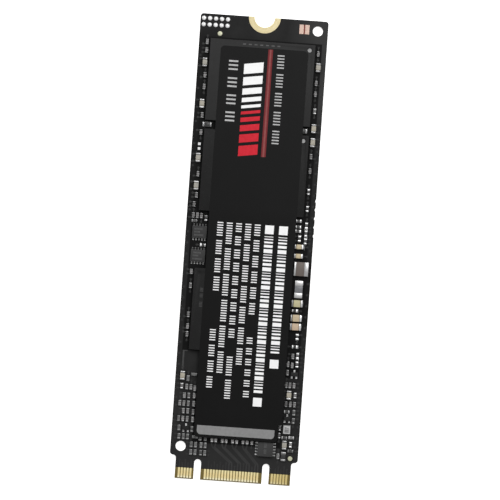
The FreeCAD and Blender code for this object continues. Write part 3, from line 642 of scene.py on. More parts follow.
def ribbon(path, width, height):
    """Flat raised line along a path of (across, along) points, with mitred corners."""
    path = [Vector(point) for point in path]
    runs = [(end - start).normalized() for start, end in zip(path, path[1:])]
    rings = []
    for here, into, out_of in zip(path, runs[:1] + runs, runs + runs[-1:]):
        run = (into + out_of).normalized()
        half = width / 2 / max(run.dot(into), 0.5)
        aside = Vector((-run.y, run.x)) * half
        slope = aside * (1 + height / width)
        sides = ((slope, 0.0), (aside, height), (-aside, height), (-slope, 0.0))
        rings.append([(here.x + offset.x, here.y + offset.y, rise) for offset, rise in sides])
    return loft(rings)


def turn_quarter(shape, quarters):
    """Shape turned about the upright axis by quarter turns."""
    points, faces = shape
    for _ in range(quarters % 4):
        points = [(-y, x, z) for x, y, z in points]
    return points, faces


# Directions along the board, in the order of quarter turns from +X
WAYS = (Vector((1, 0, 0)), Vector((0, 1, 0)), Vector((-1, 0, 0)), Vector((0, -1, 0)))


def way_out(middle, of_part):
    """Quarter turns that point from a part's middle towards one of its ends."""
    away = middle - of_part
    return max(range(4), key=lambda quarters: away.dot(WAYS[quarters]))


def width_and_reach(size, quarters):
    """Width of a box across a direction, and its reach along it."""
    return (size.y, size.x) if quarters % 2 == 0 else (size.x, size.y)


# Slope of a solder fillet, as share of its reach and share of its height
FILLET_SLOPE = ((0.0, 1.0), (0.16, 0.62), (0.38, 0.32), (0.68, 0.12), (1.0, 0.03))


def solder_fillet(width, height, reach):
    """Hollow-faced slope of solder that climbs an upright metal face, reaching out along +X."""
    rings = []
    for out, rise in FILLET_SLOPE:
        half = width / 2 * (1.0 - 0.1 * rise - 0.2 * out * out)
        foot = half * 1.04
        sides = ((-half, rise * height), (half, rise * height), (foot, 0.0), (-foot, 0.0))
        rings.append([(out * reach, across, up) for across, up in sides])
    return loft(rings)


# Chips: a brick, two metal ends and the solder that holds them


def middle_of(solid):
    low, high = solid
    return (low + high) / 2


def size_and_foot(solid):
    """Size of a solid's box and the middle of its foot."""
    low, high = solid
    middle = middle_of(solid)
    return high - low, Vector((middle.x, middle.y, low.z))


def nearest(solids, place):
    return min(solids, key=lambda solid: (middle_of(solid) - place).length)


DULL_END = 0.105
PLAIN_BODY = 0.38
# Where chips are painted brighter or darker than the rest, as painted glints on their ends and painted
# shade, with some tone of their own: left, right, foot, head, tone of ends and of bodies
CHIP_GLINT_AND_SHADE_ZONES = (
    (8.55, 11.0, -16.5, 11.7, 0.86, 0.1),
    (9.2, 11.0, -20.0, -16.5, 0.76, 0.2),
    (9.2, 9.8, -33.6, -32.2, 0.66, PLAIN_BODY),
    (-10.2, -9.4, -24.8, -23.4, 0.46, PLAIN_BODY),
    (9.5, 10.2, -25.1, -23.8, 0.44, PLAIN_BODY),
    (-9.5, -8.6, 20.2, 21.7, 0.24, 0.06),
    (-8.6, -5.5, 20.2, 21.7, 0.1, 0.06),
    (5.5, 8.95, 20.2, 21.7, 0.16, 0.06),
    (-8.6, -7.0, 0.0, 1.0, 0.62, 0.06),
    (-8.0, -7.0, 4.2, 5.0, 0.4, 0.06),
    (7.0, 8.55, -15.5, 6.0, 0.34, PLAIN_BODY),
    (9.3, 10.0, 23.5, 25.5, 0.32, PLAIN_BODY),
    (-4.4, 3.4, -34.0, -32.2, 0.2, 1.3),
    (8.0, 8.9, -35.9, -34.1, 0.2, 0.06),
    (7.2, 7.9, -35.9, -34.1, DULL_END, 0.9),
    (8.9, 10.3, -32.1, -31.3, 0.34, 0.9),
    (8.0, 9.0, -27.6, -27.0, 0.28, 0.1),
    (8.0, 8.85, -32.1, -31.5, 0.24, 0.1),
    (7.2, 7.8, -32.1, -29.5, 0.24, 0.12),
    (8.9, 10.3, -34.4, -33.6, DULL_END, 0.1),
)


def lit_zone_tones(place):
    """Tones of a chip's ends and body at a place on the board, which carry painted glints and shade."""
    for left, right, foot, head, end, body in CHIP_GLINT_AND_SHADE_ZONES:
        if left <= place.x <= right and foot <= place.y <= head:
            return end, body
    return DULL_END, PLAIN_BODY


def small_body(place):
    """Mostly dark, with wide differences from chip to chip."""
    # The zone's body tone carries painted shade, and painted light in the row at the foot
    _, body = lit_zone_tones(place)
    return body * chance.uniform(0.5, 1.8)


def medium_body(place):
    """Grey at the head and down the left side, tan beside the inductor."""
    beside_inductor = place.x > 0 and abs(place.y) < 3
    return chance.uniform(0.75, 1.0) if beside_inductor else chance.uniform(0.0, 0.18)


def large_body(place):
    """Olive at the head of the row, tan at its foot."""
    row_low, row_high = span("capacitors_large")
    return (row_high.y - place.y) / (row_high.y - row_low.y)


def chip_ends(kind):
    """Size, foot and outward quarter turns of each metal end of one kind of chip."""
    bricks = solids_of(kind)
    for solid in solids_of(f"{kind}_ends"):
        size, foot = size_and_foot(solid)
        brick = nearest(bricks, middle_of(solid))
        yield size, foot, way_out(foot, middle_of(brick))


def dress_bodies(kind, finish, slot, body_tone, rounding, coat):
    """Bricks in place of one kind of chip. A resistor has a dark coat on its top."""
    bricks = Pile()
    coats = Pile()
    for solid in solids_of(kind):
        size, foot = size_and_foot(solid)
        shade = body_tone(foot)
        height = size.z - coat
        bricks.add(block(size.x, size.y, height, rounding), foot, shade)
        if coat:
            inset = 0.05 * min(size.x, size.y)
            cover = block(size.x, size.y - inset, coat * 1.6, coat * 0.5)
            coats.add(cover, foot + Vector((0.0, 0.0, height - coat * 0.6)), shade)
    bricks.piece(f"{kind}_bricks", finish, slot, [kind])
    if coat:
        coats.piece(f"{kind}_coats", "resistor_coat", slot)


def dress_ends(kind, rounding, reach, lift):
    """Metal ends of one kind of chip, and the solder that climbs them: more where their tone carries a
    painted glint.
    """
    ends = Pile()
    fillets = Pile()
    overlap = 0.03
    for size, foot, quarters in chip_ends(kind):
        tone_of_ends, _ = lit_zone_tones(foot)
        # The tone of the ends carries painted glints and shade from the zones
        shade = (tone_of_ends + lift) * chance.uniform(0.7, 1.35)
        ends.add(block(size.x, size.y, size.z, rounding), foot, shade)
        width, out = width_and_reach(size, quarters)
        climb = size.z * chance.uniform(0.4, 0.65)
        spread = width * (0.92 + 0.25 * shade)
        fillet = turn_quarter(solder_fillet(spread, climb, reach * (1.0 + 1.1 * shade)), quarters)
        fillets.add(fillet, foot + WAYS[quarters] * (out / 2 - overlap), shade * max(0.5, shade))
    ends.piece(f"{kind}_end_caps", "end_plating", "solder", [f"{kind}_ends"])
    fillets.piece(f"{kind}_solder", "solder", "solder", smooth=50.0)


def dress_chips(kind, finish, slot, body_tone, rounding, reach, lift=0.0, coat=0.0):
    """Bricks, ends and fillets in place of one kind of chip."""
    dress_bodies(kind, finish, slot, body_tone, rounding, coat)
    dress_ends(kind, rounding * 1.7, reach, lift)


dress_chips("capacitors_small", "dark_ceramic", "dark_ceramic", small_body, rounding=0.075, reach=0.07)
dress_chips(
    "capacitors_medium", "cream_ceramic", "cream_ceramic", medium_body, rounding=0.09, reach=0.09, lift=0.18
)
dress_chips(
    "capacitors_large", "tan_ceramic", "tan_ceramic", large_body, rounding=0.1, reach=0.12, lift=-0.14
)
dress_chips(
    "resistors_small", "alumina", "resistor_black", small_body, rounding=0.05, reach=0.07, coat=0.03
)
dress_chips(
    "resistors_medium", "alumina", "resistor_black", small_body, rounding=0.05, reach=0.09, coat=0.035
)


# Packages


def soften(node, rounding, finish, slot, shade):
    """Copy of a CAD node with its sharp edges rounded, shown in its place."""
    shape = whole_faced_copy(node)
    sharp = [edge for edge in shape.edges if edge.calc_face_angle(0.0) > math.radians(40)]
    round_edges(shape, sharp, rounding * MM)
    mesh = mesh_from(shape, f"{node}_body")
    carry_tones(mesh, [shade] * len(mesh.vertices))
    set_up(mesh, f"{node}_body", finish, slot, [node])


# Mouldings and large chips: node, rounding of its edges, finish, slot and tone
MOULDINGS = (
    ("nand_package_upper", 0.035, "marked_mould", "mould_compound", 0.95),
    ("nand_package_lower", 0.035, "marked_mould", "mould_compound", 0.15),
    ("dram_package", 0.035, "mould", "mould_compound", 0.2),
    ("controller_package", 0.035, "mould", "mould_compound", 0.2),
    ("regulator_upper", 0.05, "small_mould", "mould_compound", 0.65),
    ("regulator_lower", 0.05, "small_mould", "mould_compound", 0.65),
    ("power_switch", 0.05, "small_mould", "mould_compound", 0.8),
    ("power_manager", 0.05, "small_mould", "mould_compound", 0.1),
    ("transistors", 0.05, "small_mould", "mould_compound", 0.1),
    ("crystal_base", 0.04, "crystal_ceramic", "crystal_ceramic", 0.5),
    ("power_inductor", 0.04, "ferrite", "ferrite_grey", 0.5),
    ("power_inductor_ends", 0.06, "end_plating", "solder", 0.36),
    ("input_fuse", 0.04, "fuse_glaze", "fuse_glaze", 0.5),
    ("input_fuse_ends", 0.06, "end_plating", "solder", 0.46),
)
for moulding in MOULDINGS:
    soften(*moulding)


BALL_NODES = [f"{package}_solder_balls" for package in ("nand_upper", "nand_lower", "dram", "controller")]
# Solder ball from its foot to its crown, as radius and share of its height
BALL = ((0.15, 0.0), (0.2, 0.2), (0.22, 0.5), (0.2, 0.8), (0.15, 1.0))


def dress_balls():
    """Round solder balls under the packages."""
    for node in BALL_NODES:
        pile = Pile()
        for solid in solids_of(node):
            size, foot = size_and_foot(solid)
            height = round(size.z, 3)
            profile = tuple((radius, height * share) for radius, share in BALL)
            pile.add(turned(profile, 12), foot, chance.random())
        pile.piece(f"{node}_round", "solder", "solder", [node], smooth=60.0)


def bent_lead(width, reach, height):
    """Lead that leaves a package, bends down and lies flat, reaching out along +X."""
    thick = 0.4 * height
    root = -0.04
    half = width / 2
    top = (
        (root, height), (0.3 * reach, height), (0.55 * reach, height * 0.62),
        (0.68 * reach, thick), (reach, thick),
    )
    under = (
        (root, height - thick), (0.2 * reach, height - thick), (0.38 * reach, height * 0.2),
        (0.52 * reach, 0.0), (reach, 0.0),
    )
    rings = []
    for (above, high), (below, low) in zip(top, under):
        rings.append([(above, -half, high), (above, half, high), (below, half, low), (below, -half, low)])
    return loft(rings)


def lead_way(lead, body):
    """Quarter turns that point from a package out along one of its leads."""
    hair = 0.01
    low, high = body
    away = middle_of(lead) - middle_of(body)
    if lead[0].x >= high.x - hair or lead[1].x <= low.x + hair:
        return 0 if away.x > 0 else 2
    return 1 if away.y > 0 else 3


# Leads: node, packages that carry them, usual tone, and tone of those that point to the foot, painted
# lighter as painted light on that side
LEADS = (
    ("regulator_leads", ("regulator_upper", "regulator_lower"), 0.05, 0.28),
    ("power_switch_leads", ("power_switch",), 0.5, 0.5),
    ("transistor_leads", ("transistors",), 0.75, 0.75),
)


def dress_leads():
    """Bent leads of the small packages, each soldered at its toe."""
    toe_reach = 0.08
    overlap = 0.02
    for node, packages, usual, lit_at_foot in LEADS:
        bodies = [solid for package in packages for solid in solids_of(package)]
        leads = Pile()
        toes = Pile()
        for solid in solids_of(node):
            size, foot = size_and_foot(solid)
            quarters = lead_way(solid, nearest(bodies, middle_of(solid)))
            width, reach = width_and_reach(size, quarters)
            out = WAYS[quarters] * reach / 2
            # Leads that point to the foot are painted lighter, as painted light
            shade = (lit_at_foot if quarters == 3 else usual) * chance.uniform(0.7, 1.3)
            leads.add(turn_quarter(bent_lead(width, reach, size.z), quarters), foot - out, shade)
            toe = turn_quarter(solder_fillet(width * 1.1, size.z * 0.38, toe_reach), quarters)
            toes.add(toe, foot + out - WAYS[quarters] * overlap, shade * 0.7)
        leads.piece(f"{node}_bent", "lead_plating", "solder", [node])
        toes.piece(f"{node}_solder", "solder", "solder", smooth=50.0)


dress_balls()
dress_leads()


# Bare metal on the board


def dome(radius, slope, crown, steps):
    """Low round form: a slope of shares of its radius with their heights, then a small flat crown."""
    profile = [(radius * share, height) for share, height in slope]
    return turned((*profile, (0.05, crown)), steps)


def dress_pads():
    """Low domes of solder on the test pads, and flat discs for the fiducials."""
    pads = Pile()
    pad_slope = ((1.0, 0.0), (0.97, 0.02), (0.82, 0.05), (0.5, 0.068))
    for solid in solids_of("test_pads"):
        size, foot = size_and_foot(solid)
        pads.add(dome(round(size.x / 2, 3), pad_slope, 0.075, steps=24), foot, chance.random())
    pads.piece("test_pad_domes", "pad_metal", "solder", ["test_pads"], smooth=60.0)
    marks = Pile()
    clearings = Pile()
    mark_slope = ((1.0, 0.0), (0.96, 0.022), (0.88, 0.028))
    clearing_slope = ((1.55, 0.0), (1.5, 0.004))
    for solid in solids_of("fiducials"):
        size, foot = size_and_foot(solid)
        radius = round(size.x / 2, 3)
        marks.add(dome(radius, mark_slope, 0.03, steps=32), foot, chance.random())
        clearings.add(dome(radius, clearing_slope, 0.004, steps=32), foot)
    marks.piece("fiducial_discs", "fiducial_metal", "gold_plating", ["fiducials"])
    clearings.piece("fiducial_clearings", "open_laminate", "board_mask")


dress_pads()

# Finishes of the CAD nodes that are shown as they are
SHOWN_NODES = {
    "circuit_board": "board",
    "mounting_notch_plating": "ring_gold",
    "edge_contacts_top": "contact_gold",
    "edge_contacts_bottom": "contact_gold",
    "jumper_pads": "bare_copper",
    "spare_pads": "pad_metal",
    "crystal_lid": "crystal_lid",
}
for shown, shown_finish in SHOWN_NODES.items():
    nodes[shown].data.materials.clear()
    nodes[shown].data.materials.append(FINISH[shown_finish])


# Label


INK = 0.006
LABEL_TOP = LABEL_HIGH.z - 2 * INK
LABEL_DIP = 0.055
DIP_REACH = 3.0
STRIP = 1.2
LARGE_PACKAGES = ("dram_package", "controller_package", "nand_package_upper", "nand_package_lower")
SUPPORTS = [span(package) for package in LARGE_PACKAGES]


def label_height(x, y):
    """Height of the film's face: it dips a little where nothing is under it."""
    gaps = []
    for low, high in SUPPORTS:
        aside = max(low.x - x, x - high.x, 0.0)
        beyond = max(low.y - y, y - high.y, 0.0)
        gaps.append(math.hypot(aside, beyond))
    return LABEL_TOP - LABEL_DIP * (1 - math.exp(-(min(gaps) / DIP_REACH) ** 2))


def cut_into_strips(shape):
    """Cuts a flat mesh by planes across both axes of the label, so that it can bend."""
    low, high = LABEL_LOW, LABEL_HIGH
    for axis, start, end in (((1, 0, 0), low.x, high.x), ((0, 1, 0), low.y, high.y)):
        normal = Vector(axis)
        for index in range(1, int((end - start) / STRIP) + 1):
            at = normal * (start + index * STRIP) * MM
            geometry = list(shape.verts) + list(shape.edges) + list(shape.faces)
            bmesh.ops.bisect_plane(shape, geom=geometry, dist=WELD / 10, plane_co=at, plane_no=normal)


def dress_label():
    """Thin film that lies over the packages."""
    shape = whole_faced_copy("label")
    cut_into_strips(shape)
    middle = (LABEL_LOW.z + LABEL_HIGH.z) / 2
    thickness = LABEL_TOP - LABEL_LOW.z
    for corner in shape.verts:
        height = label_height(corner.co.x / MM, corner.co.y / MM)
        corner.co.z = (height if corner.co.z / MM > middle else height - thickness) * MM
    set_up(mesh_from(shape, "label_sheet"), "label_sheet", "label", "label_film", ["label"])


def drape(shape):
    """Lays a mesh made at height 0 on the film's face."""
    cut_into_strips(shape)
    for corner in shape.verts:
        corner.co.z += label_height(corner.co.x / MM, corner.co.y / MM) * MM


def print_on_label(name, finish, outlines, layers=1):
    """Thin layer of ink on the label, from flat outlines of (across, along) points."""
    pile = Pile()
    for outline in outlines:
        pile.add(prism(outline, INK * layers))
    pile.piece(name, finish, "label_film", bend=drape)


def field(left, right, top, bottom, slant=0.0):
    """Four-sided field of ink. A slant moves its right side along the label."""
    return [(left, top), (left, bottom), (right, bottom + slant), (right, top + slant)]


def arc(across, along, radius, start, end, steps=8):
    """Points along an arc, between two angles in degrees."""
    angles = [math.radians(start + (end - start) * step / steps) for step in range(steps + 1)]
    return [(across + radius * math.cos(angle), along + radius * math.sin(angle)) for angle in angles]


def graded_bars(left, right, top, widths, gap=0.55, slant=0.5):
    """Slanted bars one after the other along the label, and where the next one would start."""
    bars = []
    for width in widths:
        bars.append(field(left, right, top, top - width, slant))
        top -= width + gap
    return bars, top


# Ticks of a row: thickness as a share of the row's width, then their step and the gap between groups
TICK_SHARE = 0.18
TICK_STEP = 2.4
TICK_GAP = 3.0


def tick_row(left, right, top, bottom, group):
    """Even ticks across a row, with a wider gap after each group of them."""
    width = TICK_SHARE * (right - left)
    step = TICK_STEP * width
    fields = []
    while top - group * step >= bottom:
        for _ in range(group):
            fields.append(field(left, right, top, top - width))
            top -= step
        top -= TICK_GAP * width
    return fields


def graded_column(left, right, top, bottom):
    """Bars across the label that widen step by step, then start again, between two squares."""
    square = right - left
    fields = [field(left, right, top, top - square), field(left, right, bottom + square, bottom)]
    widths = (0.12, 0.2, 0.3, 0.45, 0.65)
    gap = 0.28
    along = top - square - 0.4
    end = bottom + square + 0.3
    count = 0
    while along - widths[-1] > end:
        width = widths[count % len(widths)]
        fields.append(field(left, right, along, along - width))
        along -= width + gap
        count += 1
    return fields


def print_head():
    """Red stripe, slanted bars and pale ticks on the label's upper part."""
    stripe = field(left=1.0, right=1.8, top=34.45, bottom=16.0)
    core = field(left=1.25, right=1.55, top=34.45, bottom=16.0)
    print_on_label("label_stripe", "stripe_ink", [stripe])
    print_on_label("label_stripe_core", "stripe_core_ink", [core], layers=1.5)
    narrowing = (1.75, 1.4, 1.05, 0.75, 0.5)
    left, right = -2.95, 0.35
    white, end = graded_bars(left, right, 31.7, narrowing)
    red, _ = graded_bars(left, right, end, narrowing[::-1])
    print_on_label("label_white_bars", "white_ink", white)
    print_on_label("label_red_bars", "red_ink", red)
    pale = tick_row(2.65, 3.85, 33.6, 15.6, group=5) + tick_row(-5.6, -4.0, 32.2, 19.5, group=3)
    print_on_label("label_pale_ticks", "line_ink", pale)


# Rows of ticks on the label's lower part: left side, top, bottom and ticks in a group
TICK_LINES = (
    (-5.6, 4.4, -9.5, 6), (-4.0, 4.4, -25.0, 9), (-2.4, 4.4, -15.5, 4), (-0.8, 4.4, -22.0, 7),
    (0.8, 4.4, -12.0, 5), (-5.6, -14.0, -26.7, 5), (-2.4, -18.5, -26.7, 8), (0.8, -15.0, -26.7, 3),
)


def print_foot():
    """Rows of ticks, columns of bars and a grey strip on the label's lower part."""
    ticks = []
    for left, top, bottom, group in TICK_LINES:
        ticks += tick_row(left, left + 1.0, top, bottom, group)
    print_on_label("label_white_ticks", "white_ink", ticks)
    bars = graded_column(2.6, 4.1, 4.4, -26.7) + graded_column(5.0, 6.5, 4.4, -20.0)
    print_on_label("label_graded_columns", "white_ink", bars)
    corner = 0.65
    side = 6.0
    along = -31.45
    top = -30.55
    left_corner = arc(-side, along, corner, 180, 270)
    right_corner = arc(side, along, corner, 270, 360)
    strip = [(-side - corner, top), *left_corner, *right_corner, (side + corner, top)]
    print_on_label("label_grey_bar", "bar_ink", [strip])


dress_label()
print_head()
print_foot()


# Marks on the packages and the board


def flat_marks(name, finish, slot, outlines, height):
    """Thin marks that stand on one flat face."""
    pile = Pile()
    thickness = 0.004
    for outline in outlines:
        pile.add(prism(outline, thickness), (0.0, 0.0, height))
    pile.piece(name, finish, slot)


def mark_memory():
    """Laser dashes at the head of the upper memory, and faint ticks on the DRAM package beside the label.
    """
    first, step, length = -3.4, 0.98, 0.5
    lefts = [first + index * step for index in range(7)]
    dashes = [field(left, left + length, top=35.2, bottom=35.0) for left in lefts]
    flat_marks("laser_dashes", "laser_mark", "mould_compound", dashes, PACKAGE_TOP)
    left, right = -7.8, -7.25
    faint = tick_row(left, right, -7.1, -8.9, group=3) + tick_row(left, right, -9.5, -11.3, group=4)
    flat_marks("memory_laser_marks", "faint_mark", "mould_compound", faint, PACKAGE_TOP)


# Rows of laser marks on a regulator, as share of its length and number of marks
REGULATOR_ROWS = ((0.18, 8), (0.44, 5), (0.68, 7))


def mark_small_packages():
    """Rows of laser marks on the regulators, and ticks on the power switch."""
    marks = []
    inset, step, width, height = 0.4, 0.2, 0.11, 0.3
    for node in ("regulator_upper", "regulator_lower"):
        low, high = span(node)
        for row, count in REGULATOR_ROWS:
            foot = low.y + (high.y - low.y) * row
            for index in range(count):
                left = low.x + inset + index * step
                marks.append(field(left, left + width, foot + height, foot))
    low, high = span("power_switch")
    marks += tick_row(low.x + 1.1, low.x + 1.55, high.y - 0.3, low.y + 0.3, group=4)
    flat_marks("small_laser_marks", "laser_mark", "mould_compound", marks, span("regulator_upper")[1].z)


def mark_crystal():
    """Matt field inside the rim of the crystal's lid, with marks on it."""
    low, high = span("crystal_lid")
    size = high - low
    middle = middle_of((low, high))
    both_rims = 0.36
    thickness = 0.012
    matt = Pile()
    plate = block(size.x - both_rims, size.y - both_rims, thickness, rounding=0.005)
    matt.add(plate, (middle.x, middle.y, high.z))
    matt.piece("crystal_lid_matt_field", "lid_field", "crystal_metal")
    marks = tick_row(low.x + 0.3, low.x + 0.55, high.y - 0.3, low.y + 0.3, group=3)
    marks += tick_row(high.x - 0.55, high.x - 0.3, high.y - 0.4, low.y + 0.4, group=2)
    flat_marks("lid_marks", "lid_mark", "crystal_metal", marks, high.z + thickness)


def mark_board():
    """Corner bracket printed on the mask, and the dark bridge between the jumper pads."""
    left, corner = -10.0, -18.1
    bracket = [field(left, -9.72, corner, -21.2), field(left, -9.2, -17.95, corner)]
    flat_marks("board_print", "silkscreen", "board_mask", bracket, BOARD_TOP)
    low, high = span("jumper_pads")
    middle = middle_of((low, high))
    bridge = Pile()
    strap = block(0.26, high.y - low.y, height=0.03, rounding=0.01)
    bridge.add(strap, (middle.x, middle.y, BOARD_TOP))
    bridge.piece("jumper_bridge", "bridge", "board_mask")


mark_memory()
mark_small_packages()
mark_crystal()
mark_board()


# Copper lines and filled vias under the mask


LINE = 0.15
LINE_RISE = 0.013
LANE = 0.24
LANE_ASIDE = 0.18
LANE_PAIRS = 4
VIA = turned(((0.21, 0.0), (0.195, 0.01), (0.13, 0.013), (0.085, 0.005), (0.02, 0.003)), 14)
VIA_ROOM = 0.3
EDGE_ROOM = 0.32
CONTACT_ROOM = 0.6
STITCH_INSET = 0.42
STITCH_STEP = 1.9
BUNDLE_STEP = 0.42
UNSEEN = ("circuit_board", "label", "edge_contacts_bottom")
# Tooling holes, as across, along and radius
HOLES = ((9.25, 38.25, 0.875), (-9.25, -34.45, 0.875))
# Connector tongue: its root, its half width, and the middle and half width of the room for a key slot
TONGUE_ROOT = -35.7
TONGUE_HALF = 9.5
KEY_MIDDLE = 5.9
KEY_HALF = 1.2


def flipped(shape):
    """Shape turned over, for the plain side of the board."""
    points, faces = shape
    return [(x, y, -z) for x, y, z in points], faces


class Routing:
    """Lines and vias of one face of the board."""

    def __init__(self, height, under=False):
        self.lines = Pile()
        self.vias = Pile()
        self.height = height
        self.under = under
        self.taken = []

    def put(self, pile, shape, x=0.0, y=0.0):
        pile.add(flipped(shape) if self.under else shape, (x, y, self.height))

    def line(self, *path, width=LINE):
        self.put(self.lines, ribbon(path, width, LINE_RISE))

    def via(self, x, y):
        self.taken.append((x, y))
        self.put(self.vias, VIA, x, y)

    def clear(self, x, y, boxes):
        """Whether a via at this place lies on open board."""
        on_board = abs(x) <= BOARD_HIGH.x - EDGE_ROOM
        if not (on_board and CONTACT_HIGH.y + CONTACT_ROOM < y < BOARD_HIGH.y - EDGE_ROOM):
            return False
        if y < TONGUE_ROOT and (abs(x) > TONGUE_HALF or abs(abs(x) - KEY_MIDDLE) < KEY_HALF):
            return False
        if any(math.hypot(x - at_x, y - at_y) < radius + VIA_ROOM for at_x, at_y, radius in HOLES):
            return False
        if any(math.hypot(x - at_x, y - at_y) < 2 * VIA_ROOM for at_x, at_y in self.taken):
            return False
        for low, high in boxes:
            if low.x - VIA_ROOM < x < high.x + VIA_ROOM and low.y - VIA_ROOM < y < high.y + VIA_ROOM:
                return False
        return True

    def pieces(self, side):
        self.lines.piece(f"{side}_mask_lines", "mask_over_copper", "board_mask")
        self.vias.piece(f"{side}_filled_vias", "mask_over_via", "board_mask", smooth=50.0)


def stitch_border(routing, boxes):
    """Vias in a row along both long sides."""
    along = FOOT_LINE
    while along < HEAD_LINE:
        for side in (-1, 1):
            place = (side * (BOARD_HIGH.x - STITCH_INSET), along)
            if routing.clear(*place, boxes):
                routing.via(*place)
        along += STITCH_STEP


def lead_from_contacts(routing, node, boxes, lanes=()):
    """Short lines from the edge contacts to vias, apart from the contacts that lead on."""
    short, long = 0.75, 1.25
    for order, solid in enumerate(solids_of(node)):
        across = middle_of(solid).x
        if across in lanes:
            continue
        end = CONTACT_HIGH.y + (short if order % 2 else long)
        if routing.clear(across, end, boxes):
            routing.line((across, CONTACT_HIGH.y), (across, end))
            routing.via(across, end)


def pair_lanes(routing):
    """Line pairs that slant from the row of chips at the foot to the edge contacts."""
    row_top = -32.9
    first_shift, less_each = 3.3, 0.14
    chips = sorted(middle_of(solid).x for solid in solids_of("capacitors_small") if solid[0].y < row_top)
    contacts = [middle_of(solid).x for solid in solids_of("edge_contacts_top")]
    neighbours = list(zip(contacts, contacts[1:]))
    used = []
    for index in range(0, 2 * LANE_PAIRS, 2):
        pair = chips[index:index + 2]
        start = sum(pair) / 2
        wanted = start + first_shift - less_each * index
        ends = min(neighbours, key=lambda both: abs(sum(both) / 2 - wanted))
        used += ends
        middle = sum(ends) / 2
        for chip, end, aside in zip(pair, ends, (-LANE_ASIDE, LANE_ASIDE)):
            routing.taken.append((chip, FOOT_LINE - 0.1))
            routing.line(
                (chip, FOOT_LINE + 0.3), (chip, FOOT_LINE - 0.1), (start + aside, FOOT_LINE - 0.5),
                (middle + aside, FOOT_LINE - 3.0), (end, FOOT_LINE - 3.5), (end, CONTACT_HIGH.y),
                width=LANE,
            )
    return used


def fan_out(routing, boxes):
    """A short line and a via beside the chips' ends, where there is room."""
    beyond_end = 0.45
    for kind in ("capacitors_small", "resistors_small", "capacitors_medium"):
        for size, foot, quarters in chip_ends(kind):
            for side in (WAYS[quarters], WAYS[0], WAYS[2]):
                end = foot + side * (max(size.x, size.y) / 2 + beyond_end)
                if routing.clear(end.x, end.y, boxes):
                    routing.line((foot.x, foot.y), (end.x, end.y))
                    routing.via(end.x, end.y)
                    break


def dress_top_copper():
    """Lines and vias round the parts on the top face."""
    boxes = [solid for node in nodes if node not in UNSEEN for solid in solids_of(node)]
    routing = Routing(BOARD_TOP)
    lanes = pair_lanes(routing)
    lead_from_contacts(routing, "edge_contacts_top", boxes, lanes)
    fan_out(routing, boxes)
    stitch_border(routing, boxes)
    routing.pieces("top")


def via_fields(routing, boxes):
    """A via beside each solder ball of the packages."""
    aside = 0.34
    for node in BALL_NODES:
        for solid in solids_of(node):
            middle = middle_of(solid)
            place = (middle.x + aside, middle.y + aside)
            if routing.clear(*place, boxes):
                routing.via(*place)


def line_bundles(routing):
    """Bundles of lines from the controller to the memory, to the left side and to the contacts."""
    low, high = span("controller_package")
    memory_foot = span("nand_package_lower")[0].y
    for index in range(9):
        start = low.x + 5.2 + index * BUNDLE_STEP
        end = start + 1.4
        routing.line(
            (start, high.y - 1.0), (start, high.y + 4.0), (end, high.y + 5.4), (end, memory_foot + 1.2)
        )
    for index in range(6):
        start = low.x + 0.6 + index * BUNDLE_STEP
        routing.line((start, high.y - 1.2), (start, high.y + 1.2), (start - 1.2, high.y + 2.4))
    for index in range(6):
        for aside in (-LINE, LINE):
            start = -2.2 + index * 0.8 + aside
            end = start + 1.6
            routing.line((start, low.y + 0.6), (start, low.y - 2.2), (end, low.y - 3.8), (end, low.y - 6.4))


def dress_under_copper():
    """Via fields under the packages, and line bundles between them, on the plain face."""
    routing = Routing(BOARD_LOW.z, under=True)
    ring = [span("mounting_notch_plating")]
    via_fields(routing, ring)
    lead_from_contacts(routing, "edge_contacts_bottom", ring)
    stitch_border(routing, ring)
    line_bundles(routing)
    routing.pieces("under")


dress_top_copper()
dress_under_copper()


# Floor, lights and camera


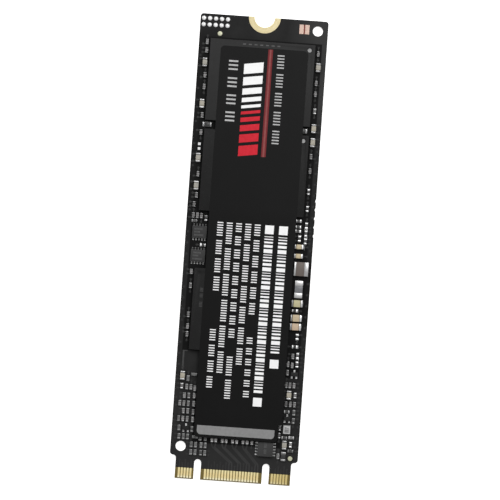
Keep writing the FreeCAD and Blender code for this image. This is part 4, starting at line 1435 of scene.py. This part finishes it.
def make_stage():
    """White floor that the drive lies on."""
    half = 1.5
    gap_under_board = 0.02
    corners = [(-half, -half, 0), (half, -half, 0), (half, half, 0), (-half, half, 0)]
    mesh = bpy.data.meshes.new("studio_floor")
    mesh.from_pydata(corners, [], [(0, 1, 2, 3)])
    floor = bpy.data.objects.new("studio_floor", mesh)
    floor.location.z = (BOARD_LOW.z - gap_under_board) * MM
    bpy.context.scene.collection.objects.link(floor)
    material, *_ = new_finish(
        "white_floor", Base_Color=(0.95, 0.95, 0.95, 1.0), Roughness=0.9, Specular_IOR_Level=0.1,
        Emission_Color=(1.0, 1.0, 1.0, 1.0), Emission_Strength=0.72,
    )
    mesh.materials.append(material)


def add_softbox(name, place, size, power):
    """Square area light aimed at the middle of the drive."""
    lamp = bpy.data.lights.new(name, "AREA")
    lamp.shape = "SQUARE"
    lamp.size = size
    lamp.energy = power
    softbox = bpy.data.objects.new(name, lamp)
    softbox.location = place
    softbox.rotation_euler = Vector(place).to_track_quat("Z", "Y").to_euler()
    bpy.context.scene.collection.objects.link(softbox)


SKY_LOW = (0.1, 0.1, 0.1, 1.0)
SKY_HIGH = (0.8, 0.8, 0.8, 1.0)


def make_light():
    """Sky that is bright overhead, a key light that throws the shadows and a broad sheen from the head."""
    world = bpy.data.worlds.new("studio")
    world.use_nodes = True
    tree = world.node_tree
    direction = add_node(tree, "TexCoord").outputs["Generated"]
    upward = add_node(tree, "SeparateXYZ", {0: direction}).outputs["Z"]
    height = work_out(tree, "POWER", work_out(tree, "MAXIMUM", upward, 0.0), 1.5)
    sky = mix_colours(tree, height, SKY_LOW, SKY_HIGH)
    tree.links.new(sky, tree.nodes["Background"].inputs["Color"])
    bpy.context.scene.world = world
    add_softbox("key_softbox", place=(-0.22, 0.26, 0.33), size=0.28, power=0.75)
    add_softbox("sheen_softbox", place=(0.07, 0.12, 0.32), size=0.13, power=0.42)
    bpy.context.scene.view_settings.view_transform = "Standard"


def make_camera():
    """Long lens that looks straight down, turned as the drive is turned in the photograph."""
    turn = math.radians(4.05)
    lens = 200.0
    sensor = 36.0
    frame_width = 85.87
    aim = Vector((0.266, -0.033, BOARD_TOP)) * MM
    data = bpy.data.cameras.new("camera")
    data.lens = lens
    data.sensor_width = sensor
    data.clip_start = 0.01
    data.clip_end = 10.0
    camera = bpy.data.objects.new("camera", data)
    camera.location = aim + Vector((0.0, 0.0, frame_width * MM * lens / sensor))
    camera.rotation_euler = (0.0, 0.0, turn)
    bpy.context.scene.collection.objects.link(camera)
    bpy.context.scene.camera = camera


make_stage()
make_light()
make_camera()
